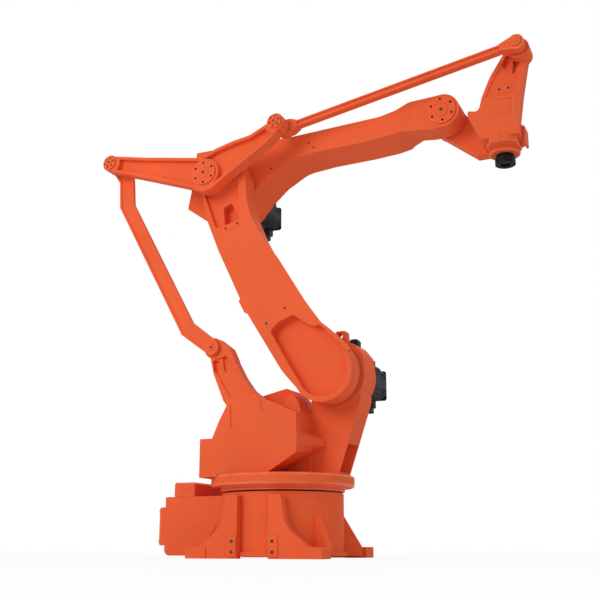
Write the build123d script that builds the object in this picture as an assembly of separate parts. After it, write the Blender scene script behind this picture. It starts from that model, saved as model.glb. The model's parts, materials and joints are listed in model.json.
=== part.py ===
"""Four-axis palletising robot arm, built link by link from its pivots.

Millimetres. +X is the front of the robot, +Z is up, and the origin lies on the
floor under the swing axis. Side profiles are drawn in the XZ plane, and "near"
and "far" are places along Y, with the near side at the lower Y.
"""
import os
from math import cos, radians, sin

from build123d import *

# Pivots of the arm, in the pose it is drawn in
LOWER_ARM_LENGTH = 1000.0
FOREARM_LENGTH = 1000.0
LOWER_ARM_ANGLE = 120.0
FOREARM_ANGLE = 10.0
SHOULDER_REACH = 250.0
SHOULDER_HEIGHT = 700.0
TOP_LINK_ARM = 370.0
TOP_LINK_ANGLE = 27.9
REAR_LINK_ARM = 500.0
REAR_LINK_ANGLE = 165.2
FLANGE_REACH = 225.0
FLANGE_DROP = 242.0

# Layers across the robot, from the near side to the far side
PLATE_NEAR = -262.0
PLATE_THICKNESS = 57.0
TOP_EYE_WIDTH = 48.0
REAR_ROD_WIDTH = 16.0
LOWER_ARM_NEAR = -192.0
LOWER_ARM_WIDTH = 88.0
REDUCER_SHOWN = 36.0
FOREARM_WIDTH = 193.0
FOREARM_END_NEAR = -84.0
FOREARM_END_WIDTH = 109.0
TOWER_WIDTH = 136.0
WRIST_EAR_WIDTH = 60.0
WRIST_PLATE_NEAR = -100.0
WRIST_PLATE_WIDTH = 60.0

# Clearances
SIDE_GAP = 6.0
ROD_GAP = 7.0
PIN_GAP = 0.4

# Base
DRUM_RADIUS = 243.0
DRUM_TOP = 246.0
FOOT_LENGTH = 562.0
FOOT_WIDTH = 550.0
FOOT_HEIGHT = 42.0
FOOT_CLEARANCE = 8.0
FOOT_PAD = 86.0
FOOT_HOLE_RADIUS = 11.0
FOOT_HOLE_SPAN = 480.0
WING_THICKNESS = 40.0
WING_INNER = 65.0
WING_TOP_OUTER = 114.0
WING_WAIST_REACH = 134.0
WING_WAIST_HEIGHT = 118.0
WING_TOP_DROP = 14.0
WING_PAD_HEIGHT = 84.0
WING_PAD_WIDTH = 40.0
WING_PAD_DEPTH = 5.0
FOOT_RING_HEIGHT = 16.0
RIB_THICKNESS = 24.0
RIB_HEIGHT = 164.0
RIB_AZIMUTH = 32.0
RIB_REACH = 318.0
BEARING_RADIUS = 228.0
BEARING_GROOVE = 6.0
HOUSING_REAR = 452.0
HOUSING_WIDTH = 300.0
HOUSING_HEIGHT = 228.0
HOUSING_FLOOR_GAP = 9.0
TOP_BOX_LENGTH = 95.0
TOP_BOX_WIDTH = 250.0
TOP_BOX_HEIGHT = 53.0
TOP_BOX_REAR = 414.0
CONNECTOR_THICKNESS = 38.0
CONNECTOR_WIDTH = 276.0
CONNECTOR_HEIGHT = 150.0
BOX_CORNER = 6.0

# Turntable and what stands on it
RING_RADIUS = 287.0
RING_HEIGHT = 46.0
LIP_RADIUS = 248.0
LIP_HEIGHT = 17.0
RING_CHAMFER = 6.0
TOWER_HUB_RADIUS = 129.0
TOWER_SHOULDER_RISE = 20.0
TOWER_BOSS_STEP = 10.0
TOWER_FOOT_FRONT = 262.0
TOWER_FOOT_REAR = 150.0
TOWER_WALL = 9.0
TOWER_HOLLOW_DEPTH = 56.0
TOWER_HOLLOW_HEIGHT = 118.0
LUG_HEIGHT = 58.0
LUG_SHIFT = 10.0
LUG_WIDTH = 50.0
LUG_THICKNESS = 36.0
LUG_HOLE_RADIUS = 11.0
DRIVE_BOX_NEAR = -225.0
DRIVE_BOX_DROP = 11.0
DRIVE_BOX_SLOPE = 24.0
ARM_STOP_NEAR = -150.0
BOX_RIB_HEIGHT = 5.0
BRACKET_BOSS_RADIUS = 42.0
BRACKET_THICKNESS = 48.0
BRACKET_RECESS = 8.0
BRACKET_POCKET = 18.0
REDUCER_RADIUS = 104.0
REDUCER_SEAT = 30.0

# Arm castings
LOWER_ARM_HUB_RADIUS = 123.0
LOWER_ARM_HUB_RIM = 20.0
LOWER_ARM_POCKET = 45.0
LOWER_ARM_RECESS = 20.0
LOWER_ARM_WINDOW = 60.0
LOWER_ARM_DRAFT = 28.0
LOWER_ARM_PAD = 6.0
ELBOW_REDUCER_RADIUS = 90.0
ELBOW_REDUCER_DEPTH = 44.0
ELBOW_PIN_RADIUS = 45.0
LINK_PIN_RADIUS = 20.0
WRIST_PIN_RADIUS = 35.0
PLATE_HUB_RADIUS = 80.0
PLATE_END_RADIUS = 37.0
PLATE_PAD_WIDTH = 93.0
PLATE_PAD_HEIGHT = 102.0
PLATE_RIM = 13.0
PLATE_POCKET = 22.0
ROD_EYE_RADIUS = 31.0
TOP_ROD_HEIGHT = 27.0
TOP_ROD_WIDTH = 36.0
TOP_ROD_GROOVE = 8.0
REAR_EYE_REACH = 70.0
FRONT_EYE_REACH = 66.0
REAR_ROD_RIM = 9.0
REAR_ROD_RECESS = 5.0
REAR_ROD_END_WALL = 6.0
CAP_THICKNESS = 10.0
CAP_CHAMFER = 2.0
ELBOW_CAP_RADIUS = 52.0
END_CAP_RADIUS = 29.0
ROD_CAP_RADIUS = 20.0
FOREARM_PAD = 3.0
WRIST_CAP_RADIUS = 57.0
FOREARM_END_RADIUS = 70.0
WRIST_EAR_RADIUS = 68.0
WRIST_BOSS_RADIUS = 41.0
WRIST_BOSS_WIDTH = 86.0
WRIST_HOUSING_HALF = 80.0
WRIST_HOUSING_TOP = -85.0
WRIST_EAR_DROP = 8.0
WRIST_COVER_WIDTH = 76.0
WRIST_COVER_THICKNESS = 9.0
WRIST_COVER_DROP = 12.0
WRIST_COVER_HEIGHT = 66.0
WRIST_HOUSING_SLOPE = 14.0
WRIST_WEB_DEPTH = 6.0
WRIST_POCKET = 20.0
NECK_RADIUS = 61.0
NECK_HEIGHT = 42.0
FLANGE_RADIUS = 40.0
FLANGE_HEIGHT = 40.0
FLANGE_SHANK_RADIUS = 34.0
FLANGE_SHANK_HEIGHT = 14.0
FLANGE_PILOT_RADIUS = 20.0
FLANGE_PILOT_DEPTH = 6.0
FLANGE_BOLT_CIRCLE = 63.0
FLANGE_BOLT_RADIUS = 3.0
FLANGE_BOLT_DEPTH = 12.0

# Servo motors
MOTOR_SIDE = 134.0
SHOULDER_MOTOR_LENGTH = 200.0
ELBOW_MOTOR_LENGTH = 165.0
MOTOR_CAP = 80.0
SHOULDER_CAP_SIDE = 130.0
ELBOW_CAP_SIDE = 114.0
MOTOR_PLUG_SIDE = 40.0
MOTOR_PLUG_HEIGHT = 34.0
MOTOR_PLUG_INSET = 14.0
MOTOR_ADAPTER = 42.0
MOTOR_ADAPTER_RADIUS = 84.0
MOTOR_CORNER = 9.0
MOTOR_RISE = 22.0
TERMINAL_WIDTH = 96.0
TERMINAL_LENGTH = 160.0
TERMINAL_HEIGHT = 20.0
SOCKET_HEIGHT = 106.0
SOCKET_SHIFT = 4.0
WRIST_MOTOR_SIDE = 90.0
WRIST_MOTOR_HEIGHT = 105.0
WRIST_MOTOR_SHIFT = 11.0

# Places that follow from the sizes above
BEARING_TOP = DRUM_TOP + BEARING_GROOVE
RING_BOTTOM = BEARING_TOP + LIP_HEIGHT
RING_TOP = RING_BOTTOM + RING_HEIGHT
PLATE_FAR = PLATE_NEAR + PLATE_THICKNESS
ROD_NEAR = PLATE_FAR + ROD_GAP
REAR_ROD_FAR = ROD_NEAR + REAR_ROD_WIDTH
TOP_EYE_FAR = ROD_NEAR + TOP_EYE_WIDTH
LOWER_ARM_FAR = LOWER_ARM_NEAR + LOWER_ARM_WIDTH
FOREARM_NEAR = LOWER_ARM_FAR + SIDE_GAP + FOREARM_PAD
FOREARM_FAR = FOREARM_NEAR + FOREARM_WIDTH
FOREARM_END_FAR = FOREARM_END_NEAR + FOREARM_END_WIDTH
TOWER_NEAR = LOWER_ARM_FAR + REDUCER_SHOWN
TOWER_FAR = TOWER_NEAR + TOWER_WIDTH
EAR_NEAR = FOREARM_END_FAR + SIDE_GAP
EAR_FAR = EAR_NEAR + WRIST_EAR_WIDTH
WRIST_BOSS_NEAR = TOP_EYE_FAR + SIDE_GAP
BRACKET_BOSS_NEAR = REAR_ROD_FAR + SIDE_GAP
WRIST_PLATE_FAR = WRIST_PLATE_NEAR + WRIST_PLATE_WIDTH
STANDING = (Align.CENTER, Align.CENTER, Align.MIN)


def polar(pivot, length, angle):
    """Point at a distance and an angle from a pivot in the XZ plane."""
    return (pivot[0] + length * cos(radians(angle)), pivot[1] + length * sin(radians(angle)))


SHOULDER = (SHOULDER_REACH, SHOULDER_HEIGHT)
ELBOW = polar(SHOULDER, LOWER_ARM_LENGTH, LOWER_ARM_ANGLE)
WRIST = polar(ELBOW, FOREARM_LENGTH, FOREARM_ANGLE)
PLATE_TOP_PIN = polar(ELBOW, TOP_LINK_ARM, TOP_LINK_ANGLE)
WRIST_TOP_PIN = polar(WRIST, TOP_LINK_ARM, TOP_LINK_ANGLE)
PLATE_REAR_PIN = polar(ELBOW, REAR_LINK_ARM, REAR_LINK_ANGLE)
BRACKET_PIN = polar(SHOULDER, REAR_LINK_ARM, REAR_LINK_ANGLE)
FLANGE_X = WRIST[0] + FLANGE_REACH
FLANGE_Z = WRIST[1] - FLANGE_DROP


def outline(*corners):
    """Closed face from corners given as (x, y) or (x, y, corner radius)."""
    points = [corner[:2] for corner in corners]
    radii = [corner[2] if len(corner) > 2 else 0 for corner in corners]
    return make_face(FilletPolyline(*points, radius=radii, close=True))


def by_share(length, *corners):
    """Corners whose places along a link are given as shares of its length."""
    return [(length * share, *rest) for share, *rest in corners]


def side_plane(y, pivot=(0, 0), angle=0):
    """Plane at a place across the robot, its x axis along a link, facing the near side."""
    along = (cos(radians(angle)), 0, sin(radians(angle)))
    return Plane(origin=(pivot[0], y, pivot[1]), x_dir=along, z_dir=(0, -1, 0))


def slab(face, near, far, pivot=(0, 0), angle=0):
    """Side profile made solid from the near to the far place."""
    return extrude(side_plane(far, pivot, angle) * face, amount=far - near)


def disc(pivot, radius, near, far):
    """Round slab about a pivot, its axis across the robot."""
    return slab(Circle(radius), near, far, pivot)


def plan_cut(face, pivot, angle, reach):
    """Profile drawn along a link and across the robot, made solid through its height."""
    along = (cos(radians(angle)), 0, sin(radians(angle)))
    up = (-sin(radians(angle)), 0, cos(radians(angle)))
    plane = Plane(origin=(pivot[0], 0, pivot[1]), x_dir=along, z_dir=up)
    return extrude(plane * face, amount=reach, both=True)


def base_casting():
    """Drum with four feet, padded side wings and corner ribs, bored for its floor bolts."""
    drum = Pos(0, 0, FOOT_CLEARANCE) * Cylinder(DRUM_RADIUS, DRUM_TOP - FOOT_CLEARANCE, align=STANDING)
    half_length = FOOT_LENGTH / 2
    half_width = FOOT_WIDTH / 2
    wing_face = half_width - WING_PAD_DEPTH
    wing_top = DRUM_TOP - WING_TOP_DROP
    wing = outline(
        (WING_INNER, 0), (half_length, 0), (half_length, FOOT_HEIGHT),
        (half_length - FOOT_PAD * 0.65, FOOT_HEIGHT, 40), (WING_WAIST_REACH, WING_WAIST_HEIGHT, 90),
        (WING_TOP_OUTER, wing_top), (WING_INNER, wing_top))
    pad = outline((WING_INNER + 2, FOOT_CLEARANCE), (WING_INNER + WING_PAD_WIDTH, FOOT_CLEARANCE),
                  (WING_INNER + WING_PAD_WIDTH, WING_PAD_HEIGHT), (WING_INNER + 2, WING_PAD_HEIGHT))
    body = drum + Pos(0, 0, FOOT_CLEARANCE) * Cylinder(
        half_width - WING_THICKNESS / 2, FOOT_RING_HEIGHT, align=STANDING)
    for side in (-1, 1):
        near, far = sorted((side * wing_face, side * (half_width - WING_THICKNESS)))
        pad_near, pad_far = sorted((side * wing_face, side * half_width))
        for half, boss in ((wing, pad), (mirror(wing, about=Plane.YZ), mirror(pad, about=Plane.YZ))):
            body += slab(half, near, far)
            body += slab(boss, pad_near, pad_far)
        for end in (-1, 1):
            foot = Pos(end * (half_length - FOOT_PAD / 2), side * (half_width - FOOT_PAD / 2), 0)
            body += foot * Box(FOOT_PAD, FOOT_PAD, FOOT_HEIGHT, align=STANDING)
            body += corner_rib(end, side)
    for end in (-1, 1):
        for side in (-1, 1):
            spot = Pos(end * FOOT_HOLE_SPAN / 2, side * FOOT_HOLE_SPAN / 2, 0)
            body -= spot * Cylinder(FOOT_HOLE_RADIUS, 3 * FOOT_HEIGHT)
    return body


def corner_rib(end, side):
    """Sloping rib from the drum's wall to the inner corner of a foot."""
    root = DRUM_RADIUS - WING_THICKNESS / 2
    profile = outline((root, FOOT_CLEARANCE), (RIB_REACH, FOOT_CLEARANCE), (RIB_REACH, FOOT_HEIGHT),
                      (DRUM_RADIUS, RIB_HEIGHT), (root, RIB_HEIGHT))
    along = (end * cos(radians(RIB_AZIMUTH)), side * sin(radians(RIB_AZIMUTH)), 0)
    plane = Plane(origin=(0, 0, 0), x_dir=along, z_dir=(along[1], -along[0], 0))
    return extrude(plane * profile, amount=RIB_THICKNESS / 2, both=True)


def base_rear_housing():
    """Cable and gear housing that backs onto the drum, clear of the turning table above it."""
    top = HOUSING_FLOOR_GAP + HOUSING_HEIGHT
    profile = outline((-HOUSING_REAR, HOUSING_FLOOR_GAP, 24), (-DRUM_RADIUS / 2, HOUSING_FLOOR_GAP),
                      (-DRUM_RADIUS / 2, top), (-HOUSING_REAR, top, BOX_CORNER))
    body = slab(profile, -HOUSING_WIDTH / 2, HOUSING_WIDTH / 2) - base_casting()
    table_room = Pos(0, 0, DRUM_TOP) * Cylinder(RING_RADIUS + SIDE_GAP, 2 * HOUSING_HEIGHT, align=STANDING)
    return body - table_room


def base_top_box():
    """Junction box on the rear housing, with rounded upright corners."""
    bottom = HOUSING_FLOOR_GAP + HOUSING_HEIGHT
    spot = Pos(-TOP_BOX_REAR, -HOUSING_WIDTH / 2, bottom)
    box = spot * Box(TOP_BOX_LENGTH, TOP_BOX_WIDTH, TOP_BOX_HEIGHT, align=(Align.MIN, Align.MIN, Align.MIN))
    return fillet(box.edges().filter_by(Axis.Z), BOX_CORNER)


def base_connector_plate():
    """Raised connector plate on the rear of the housing, its rim chamfered."""
    spot = Pos(-HOUSING_REAR, 0, HOUSING_FLOOR_GAP + HOUSING_HEIGHT / 2)
    plate = spot * Box(CONNECTOR_THICKNESS, CONNECTOR_WIDTH, CONNECTOR_HEIGHT,
                       align=(Align.MAX, Align.CENTER, Align.CENTER))
    return chamfer(plate.faces().sort_by(Axis.X)[0].edges(), BOX_CORNER)


def slewing_bearing():
    """Bearing ring in the groove between the drum and the turntable."""
    return Pos(0, 0, DRUM_TOP) * Cylinder(BEARING_RADIUS, BEARING_GROOVE - PIN_GAP, align=STANDING)


def turntable():
    """Round table with chamfered edges and the lip that covers the bearing."""
    rim = RING_RADIUS - RING_CHAMFER
    section = outline((0, BEARING_TOP), (LIP_RADIUS, BEARING_TOP), (LIP_RADIUS, RING_BOTTOM),
                      (rim, RING_BOTTOM), (RING_RADIUS, RING_BOTTOM + RING_CHAMFER),
                      (RING_RADIUS, RING_TOP - RING_CHAMFER), (rim, RING_TOP), (0, RING_TOP))
    return revolve(Plane.XZ * section, Axis.Z)


def shoulder_tower():
    """Upright that carries the shoulder gear, with a proud hub and a lifting lug on top."""
    x, z = SHOULDER
    radius = TOWER_HUB_RADIUS
    foot = outline((TOWER_FOOT_REAR, RING_TOP), (TOWER_FOOT_FRONT, RING_TOP),
                   (x + 0.43 * radius, z - 2 * radius), (x + 0.95 * radius, z - 0.45 * radius, 60), (x, z),
                   (TOWER_FOOT_REAR, z - 0.7 * radius))
    lug_top = z + radius + LUG_HEIGHT
    lug_x = x + LUG_SHIFT
    lug = outline((lug_x - LUG_WIDTH / 2 - 10, z), (lug_x + LUG_WIDTH / 2 + 14, z),
                  (lug_x + LUG_WIDTH / 2, lug_top, 8), (lug_x - LUG_WIDTH / 2 + 6, lug_top, 8))
    lug -= Pos(lug_x, lug_top - 1.8 * LUG_HOLE_RADIUS) * Circle(LUG_HOLE_RADIUS)
    high = radius + TOWER_SHOULDER_RISE
    shoulder = outline((x, z), (x + radius, z), (x + 0.82 * high, z + 0.5 * high, 40),
                       (x + 0.55 * high, z + 0.84 * high, 40), (x, z + radius))
    body = slab(foot, TOWER_NEAR + TOWER_BOSS_STEP, TOWER_FAR)
    body += slab(shoulder, TOWER_NEAR + TOWER_BOSS_STEP, TOWER_FAR)
    body += disc(SHOULDER, radius, TOWER_NEAR, TOWER_FAR)
    front = TOWER_FOOT_FRONT - TOWER_HOLLOW_DEPTH
    hollow = outline((front, RING_TOP + TOWER_WALL), (2 * x, RING_TOP + TOWER_WALL),
                     (2 * x, RING_TOP + TOWER_HOLLOW_HEIGHT), (front + 40, RING_TOP + TOWER_HOLLOW_HEIGHT))
    body -= slab(hollow, TOWER_NEAR + TOWER_BOSS_STEP + TOWER_WALL, TOWER_FAR - TOWER_WALL)
    return body + slab(lug, -LUG_THICKNESS / 2, LUG_THICKNESS / 2)


def drive_housing():
    """Faceted box on the near side of the turntable, with a nose and the stop for the arm."""
    low = RING_TOP - DRIVE_BOX_DROP
    near = outline((-258, low), (34, low + 10), (120, low + 62), (156, low + 84), (159, low + 118),
                   (159, low + 148), (158, low + 178), (157, low + 234), (3, low + 300),
                   (-148, low + 280), (-204, low + 150), (-258, low + 150))
    far = outline((-258, low), (34, low + 30), (142, low + 84), (166, low + 99), (214, low + 116),
                  (206, low + 148), (146, low + 178), (143, low + 252), (3, low + 300),
                  (-148, low + 280), (-204, low + 150), (-258, low + 150))
    foot_near = TOWER_NEAR + TOWER_BOSS_STEP
    body = loft([side_plane(DRIVE_BOX_NEAR) * near, side_plane(foot_near) * far], ruled=True)
    crease = low + 218
    top = low + 340
    slope = outline((DRIVE_BOX_NEAR - 1, crease), (DRIVE_BOX_NEAR, crease),
                    (DRIVE_BOX_NEAR + DRIVE_BOX_SLOPE, top), (DRIVE_BOX_NEAR - 1, top))
    body -= extrude(Plane.YZ * slope, amount=LOWER_ARM_LENGTH, both=True)
    stop = outline((52, low + 180), (144, low + 180), (143, low + 252), (134, low + 286, 14),
                   (116, low + 313, 8), (92, low + 315, 8), (52, low + 240))
    body += slab(stop, ARM_STOP_NEAR, foot_near)
    left_rib = outline((-148, low + 280), (-132, low + 282), (-119, low + 191), (-125, low + 190))
    right_rib = outline((-20, low + 297), (-5, low + 299), (13, low + 246), (7, low + 245))
    proud = Pos(0, -BOX_RIB_HEIGHT, 0) * body
    for rib in (left_rib, right_rib):
        body += slab(rib, DRIVE_BOX_NEAR - BOX_RIB_HEIGHT - 1, ARM_STOP_NEAR) & proud
    hub_room = disc(SHOULDER, TOWER_HUB_RADIUS + PIN_GAP, TOWER_NEAR, foot_near + 1)
    table_room = Pos(0, 0, RING_BOTTOM) * Cylinder(RING_RADIUS + PIN_GAP, RING_HEIGHT, align=STANDING)
    return body - hub_room - table_room


def swing_motor_cover():
    """Hump behind the drive housing, over the swing motor, with a sloping shoulder."""
    low = RING_TOP
    near = TOWER_NEAR + TOWER_BOSS_STEP
    base = outline((-105, low), (TOWER_FOOT_REAR, low), (TOWER_FOOT_REAR, low + 235), (72, low + 335, 16),
                   (26, low + 352, 16), (-80, low + 324, 16), (-105, low + 286, 16))
    hump = slab(base, near, TOWER_FAR)
    slope = outline((near - 1, low + 290), (near, low + 290), (near + 34, low + 365), (near - 1, low + 365))
    return hump - extrude(Plane.YZ * slope, amount=LOWER_ARM_LENGTH, both=True)


def bracket_room(depth):
    """Space in front of the bracket's leaning face, moved back by a depth."""
    low = RING_TOP - DRIVE_BOX_DROP + 280
    high = BRACKET_PIN[1] - BRACKET_BOSS_RADIUS
    top = BRACKET_PIN[1] + 2 * BRACKET_BOSS_RADIUS
    near = DRIVE_BOX_NEAR - 1
    foot = DRIVE_BOX_NEAR + DRIVE_BOX_SLOPE / 2 + depth
    face = outline((near, low), (foot, low), (BRACKET_BOSS_NEAR + depth, high),
                   (BRACKET_BOSS_NEAR + depth, top), (near, top))
    return extrude(Plane.YZ * face, amount=LOWER_ARM_LENGTH, both=True)


def link_bracket():
    """Leaning ribbed bracket that carries the fixed pivot of the rear rod."""
    low = RING_TOP - DRIVE_BOX_DROP + 280
    x, z = BRACKET_PIN
    side = outline((-148, low), (3, low + 20), (-46, low + 58), (-90, low + 113), (-130, low + 178),
                   (x + 74, z - 4, 16), (x + 20, z + 37), (x - 36, z - 22), (x - 14, z - 40),
                   (x + 8, z - 107), (-164, low + 16))
    web = outline((-138, low + 30), (-24, low + 40), (-60, low + 62), (-104, low + 116), (-138, low + 172),
                  (x + 60, z - 34, 8), (x + 6, z - 48, 8), (x + 20, z - 104))
    left = outline((x - 1, z - 52, 4), (x + 22, z - 52, 4), (x + 26, z - 108, 4), (x + 10, z - 98, 4))
    right = outline((x + 38, z - 40, 4), (x + 62, z - 40, 4), (x + 66, z - 118, 4), (x + 50, z - 92, 4))
    full = DRIVE_BOX_NEAR - 1, TOWER_NEAR
    body = slab(side + Pos(x, z) * Circle(BRACKET_BOSS_RADIUS), *full)
    body -= bracket_room(0)
    body -= slab(web, *full) & bracket_room(BRACKET_RECESS)
    for pocket in (left, right):
        body -= slab(pocket, *full) & bracket_room(BRACKET_POCKET)
    return body & bracket_room(BRACKET_THICKNESS)


def rear_rod():
    """Bent flat bar of the rear parallelogram, its near face sunk between thin rims."""
    end = LOWER_ARM_LENGTH
    eye = ROD_EYE_RADIUS
    bar = outline((-8, eye), (126, 90, 15), (end - 176, 79, 15), (end - 70, 26, 20), (end, eye),
                  (end, -eye), (end - 95, -40, 20), (end - 208, 14, 15), (143, 23, 15), (14, -eye + 1))
    eyes = Circle(eye) + Pos(end, 0) * Circle(eye)
    pads = Circle(eye + REAR_ROD_RIM) + Pos(end, 0) * Circle(eye + REAR_ROD_RIM)
    recess = offset(bar, amount=-REAR_ROD_RIM) - pads
    place = (BRACKET_PIN, LOWER_ARM_ANGLE)
    body = slab(bar + eyes, ROD_NEAR, REAR_ROD_FAR, *place)
    body -= slab(recess, ROD_NEAR - 1, ROD_NEAR + REAR_ROD_RECESS, *place)
    hole = LINK_PIN_RADIUS + PIN_GAP
    body -= disc(BRACKET_PIN, hole, ROD_NEAR + REAR_ROD_END_WALL, REAR_ROD_FAR + 1)
    return body - disc(PLATE_REAR_PIN, hole, ROD_NEAR - 1, REAR_ROD_FAR + 1)


def bracket_pin():
    """Pin in the bracket's boss on which the rear rod turns."""
    return disc(BRACKET_PIN, LINK_PIN_RADIUS, ROD_NEAR + REAR_ROD_END_WALL + PIN_GAP, BRACKET_BOSS_NEAR)


def shoulder_reducer():
    """Gear unit on the tower that shows as a ring and carries the lower arm."""
    return disc(SHOULDER, REDUCER_RADIUS, LOWER_ARM_FAR - REDUCER_SEAT, TOWER_NEAR)


def elbow_reducer():
    """Gear unit on the lower arm that carries and turns the forearm."""
    return disc(ELBOW, ELBOW_REDUCER_RADIUS, LOWER_ARM_FAR, LOWER_ARM_FAR + ELBOW_REDUCER_DEPTH)


def elbow_pin():
    """Stub shaft on the lower arm on which the link plate turns."""
    return disc(ELBOW, ELBOW_PIN_RADIUS, PLATE_NEAR + PLATE_POCKET, LOWER_ARM_NEAR)


def lower_arm():
    """Main arm: broad hub, waisted body whose front face leans inwards, and an ear for the elbow."""
    end = LOWER_ARM_LENGTH
    lean = LOWER_ARM_DRAFT
    place = (SHOULDER, LOWER_ARM_ANGLE)
    rear = ((end + 50, 72, 40), (end - 26, 73, 60), (end - 142, 110, 120), (end - 303, 132, 200),
            *by_share(end, (0.4, 154, 400), (0.09, 142, 300)), (0, LOWER_ARM_HUB_RADIUS))
    head = ((end - 260, -64, 60), (end - 193, -80, 80), (end - 90, -128, 60), (end - 15, -142, 50),
            (end + 60, -108, 80), (end + 85, 20, 60))
    near_front = ((4, -LOWER_ARM_HUB_RADIUS - 13), (60, -128, 40),
                  *by_share(end, (0.165, -93, 80), (0.281, -81, 150), (0.5, -74, 200), (0.64, -60, 200)))
    far_front = ((4, lean - LOWER_ARM_HUB_RADIUS), (60, lean - 118, 40),
                 *by_share(end, (0.165, lean - 93, 80), (0.281, lean - 81, 150), (0.5, lean - 74, 200),
                        (0.64, lean / 3 - 62, 200)))
    sides = [side_plane(y, *place) * outline(*front, *head, *rear)
             for y, front in ((LOWER_ARM_NEAR, near_front), (LOWER_ARM_FAR, far_front))]
    solid = loft(sides, ruled=True) + disc(SHOULDER, LOWER_ARM_HUB_RADIUS, LOWER_ARM_NEAR, LOWER_ARM_FAR)
    pad = outline(*by_share(end, (0.385, 140), (0.465, 138), (0.455, 162, 6), (0.395, 164, 6)))
    solid += slab(pad, LOWER_ARM_NEAR + LOWER_ARM_PAD, LOWER_ARM_FAR - LOWER_ARM_PAD, *place)
    well = Circle(LOWER_ARM_HUB_RADIUS - LOWER_ARM_HUB_RIM)
    pocket = outline((0, -124, 10), (60, -117, 30), (160, -84, 12), (172, -56, 20), (222, -28, 25),
                     (262, -10, 20), (272, 60, 40), (262, 106, 20), (136, 106, 200), (0, 102)) + well
    solid -= slab(pocket, LOWER_ARM_NEAR - 1, LOWER_ARM_NEAR + LOWER_ARM_POCKET, *place)
    recess = outline((end - 204, 94, 10), (end - 226, 62, 10), (end - 241, -14, 10), (end - 195, -38, 20),
                     (end - 143, -63, 30), (end - 80, -92), (end - 35, 66)) - Pos(end, 0) * Circle(72)
    solid -= slab(recess, LOWER_ARM_NEAR - 1, LOWER_ARM_NEAR + LOWER_ARM_RECESS, *place)
    window = outline((end - 138, 26, 8), (end - 142, -15, 8), (end - 226, -8, 8), (end - 211, 60, 8))
    solid -= slab(window, LOWER_ARM_NEAR - 1, LOWER_ARM_NEAR + LOWER_ARM_WINDOW, *place)
    seat = LOWER_ARM_FAR - REDUCER_SEAT - PIN_GAP
    return solid - disc(SHOULDER, REDUCER_RADIUS + PIN_GAP, seat, LOWER_ARM_FAR + 1)


def link_plate():
    """Three-pivot rocker at the elbow with sunk webs between its rims."""
    top_end = TOP_LINK_ARM
    rear_end = REAR_LINK_ARM
    top_arm = outline((0, 76), (94, 66, 60), (175, 46, 80), (top_end - 120, 20, 80), (top_end - 10, 14),
                      (top_end - 10, -40), (top_end - 70, -56, 80), (160, -66, 120), (0, -78))
    rear_arm = outline((0, -66), (64, -63, 80), (322, -42, 200), (rear_end - 20, -34),
                       (rear_end - 20, 38), (352, 44, 200), (63, 66, 80), (0, 72))
    solid = disc(ELBOW, PLATE_HUB_RADIUS, PLATE_NEAR, PLATE_FAR)
    top_pad = outline((-PLATE_PAD_WIDTH / 2, 0), (PLATE_PAD_WIDTH / 2, 0),
                      (PLATE_PAD_WIDTH / 2, PLATE_PAD_HEIGHT, 6), (-PLATE_PAD_WIDTH / 2, PLATE_PAD_HEIGHT, 6))
    solid += slab(top_pad, PLATE_NEAR + CAP_THICKNESS, PLATE_FAR, ELBOW)
    hub_pad = Circle(ELBOW_CAP_RADIUS + PLATE_RIM)
    arms = ((top_arm, TOP_LINK_ANGLE, top_end, PLATE_TOP_PIN),
            (rear_arm, REAR_LINK_ANGLE, rear_end, PLATE_REAR_PIN))
    for arm, angle, length, pin in arms:
        solid += slab(arm, PLATE_NEAR, PLATE_FAR, ELBOW, angle)
        solid += disc(pin, PLATE_END_RADIUS, PLATE_NEAR, PLATE_FAR)
    for arm, angle, length, pin in arms:
        end_pad = Pos(length, 0) * Circle(PLATE_END_RADIUS + PLATE_RIM)
        web = offset(arm, amount=-PLATE_RIM) - hub_pad - end_pad
        solid -= slab(web, PLATE_NEAR - 1, PLATE_NEAR + PLATE_POCKET, ELBOW, angle)
    return solid - disc(ELBOW, ELBOW_PIN_RADIUS + PIN_GAP, PLATE_NEAR + PLATE_POCKET - PIN_GAP, PLATE_FAR + 1)


def link_pin(pivot, far):
    """Pin on the back of the link plate that a rod's eye turns on."""
    return disc(pivot, LINK_PIN_RADIUS, PLATE_FAR, far - PIN_GAP)


def cap(pivot, radius, face):
    """Round bearing cap on a near face, chamfered round its rim."""
    body = disc(pivot, radius, face - CAP_THICKNESS, face)
    return chamfer(body.faces().sort_by(Axis.Y)[0].edges(), CAP_CHAMFER)


def top_rod():
    """Straight bar of the top parallelogram, grooved along its near face."""
    start = REAR_EYE_REACH
    end = FOREARM_LENGTH - FRONT_EYE_REACH
    half = TOP_ROD_HEIGHT / 2
    edge = (TOP_EYE_WIDTH - TOP_ROD_WIDTH) / 2
    bar = outline((start, -half), (end, -half), (end, half), (start, half))
    groove = outline((start - 1, -half / 3), (end + 1, -half / 3), (end + 1, half / 2), (start - 1, half / 2))
    place = (PLATE_TOP_PIN, FOREARM_ANGLE)
    body = slab(bar, ROD_NEAR + edge, TOP_EYE_FAR - edge, *place)
    return body - slab(groove, ROD_NEAR, ROD_NEAR + edge + TOP_ROD_GROOVE, *place)


def top_rod_rear_eye():
    """Chamfered end block of the top rod behind the link plate."""
    half = TOP_ROD_HEIGHT / 2
    eye = ROD_EYE_RADIUS
    block = outline((0, -eye), (0.6 * REAR_EYE_REACH, -0.9 * eye), (REAR_EYE_REACH, -half),
                    (REAR_EYE_REACH, half), (0.6 * REAR_EYE_REACH, 0.9 * eye), (0, eye))
    face = block + Circle(eye) - Circle(LINK_PIN_RADIUS + PIN_GAP)
    return slab(face, ROD_NEAR, TOP_EYE_FAR, PLATE_TOP_PIN, FOREARM_ANGLE)


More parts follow.
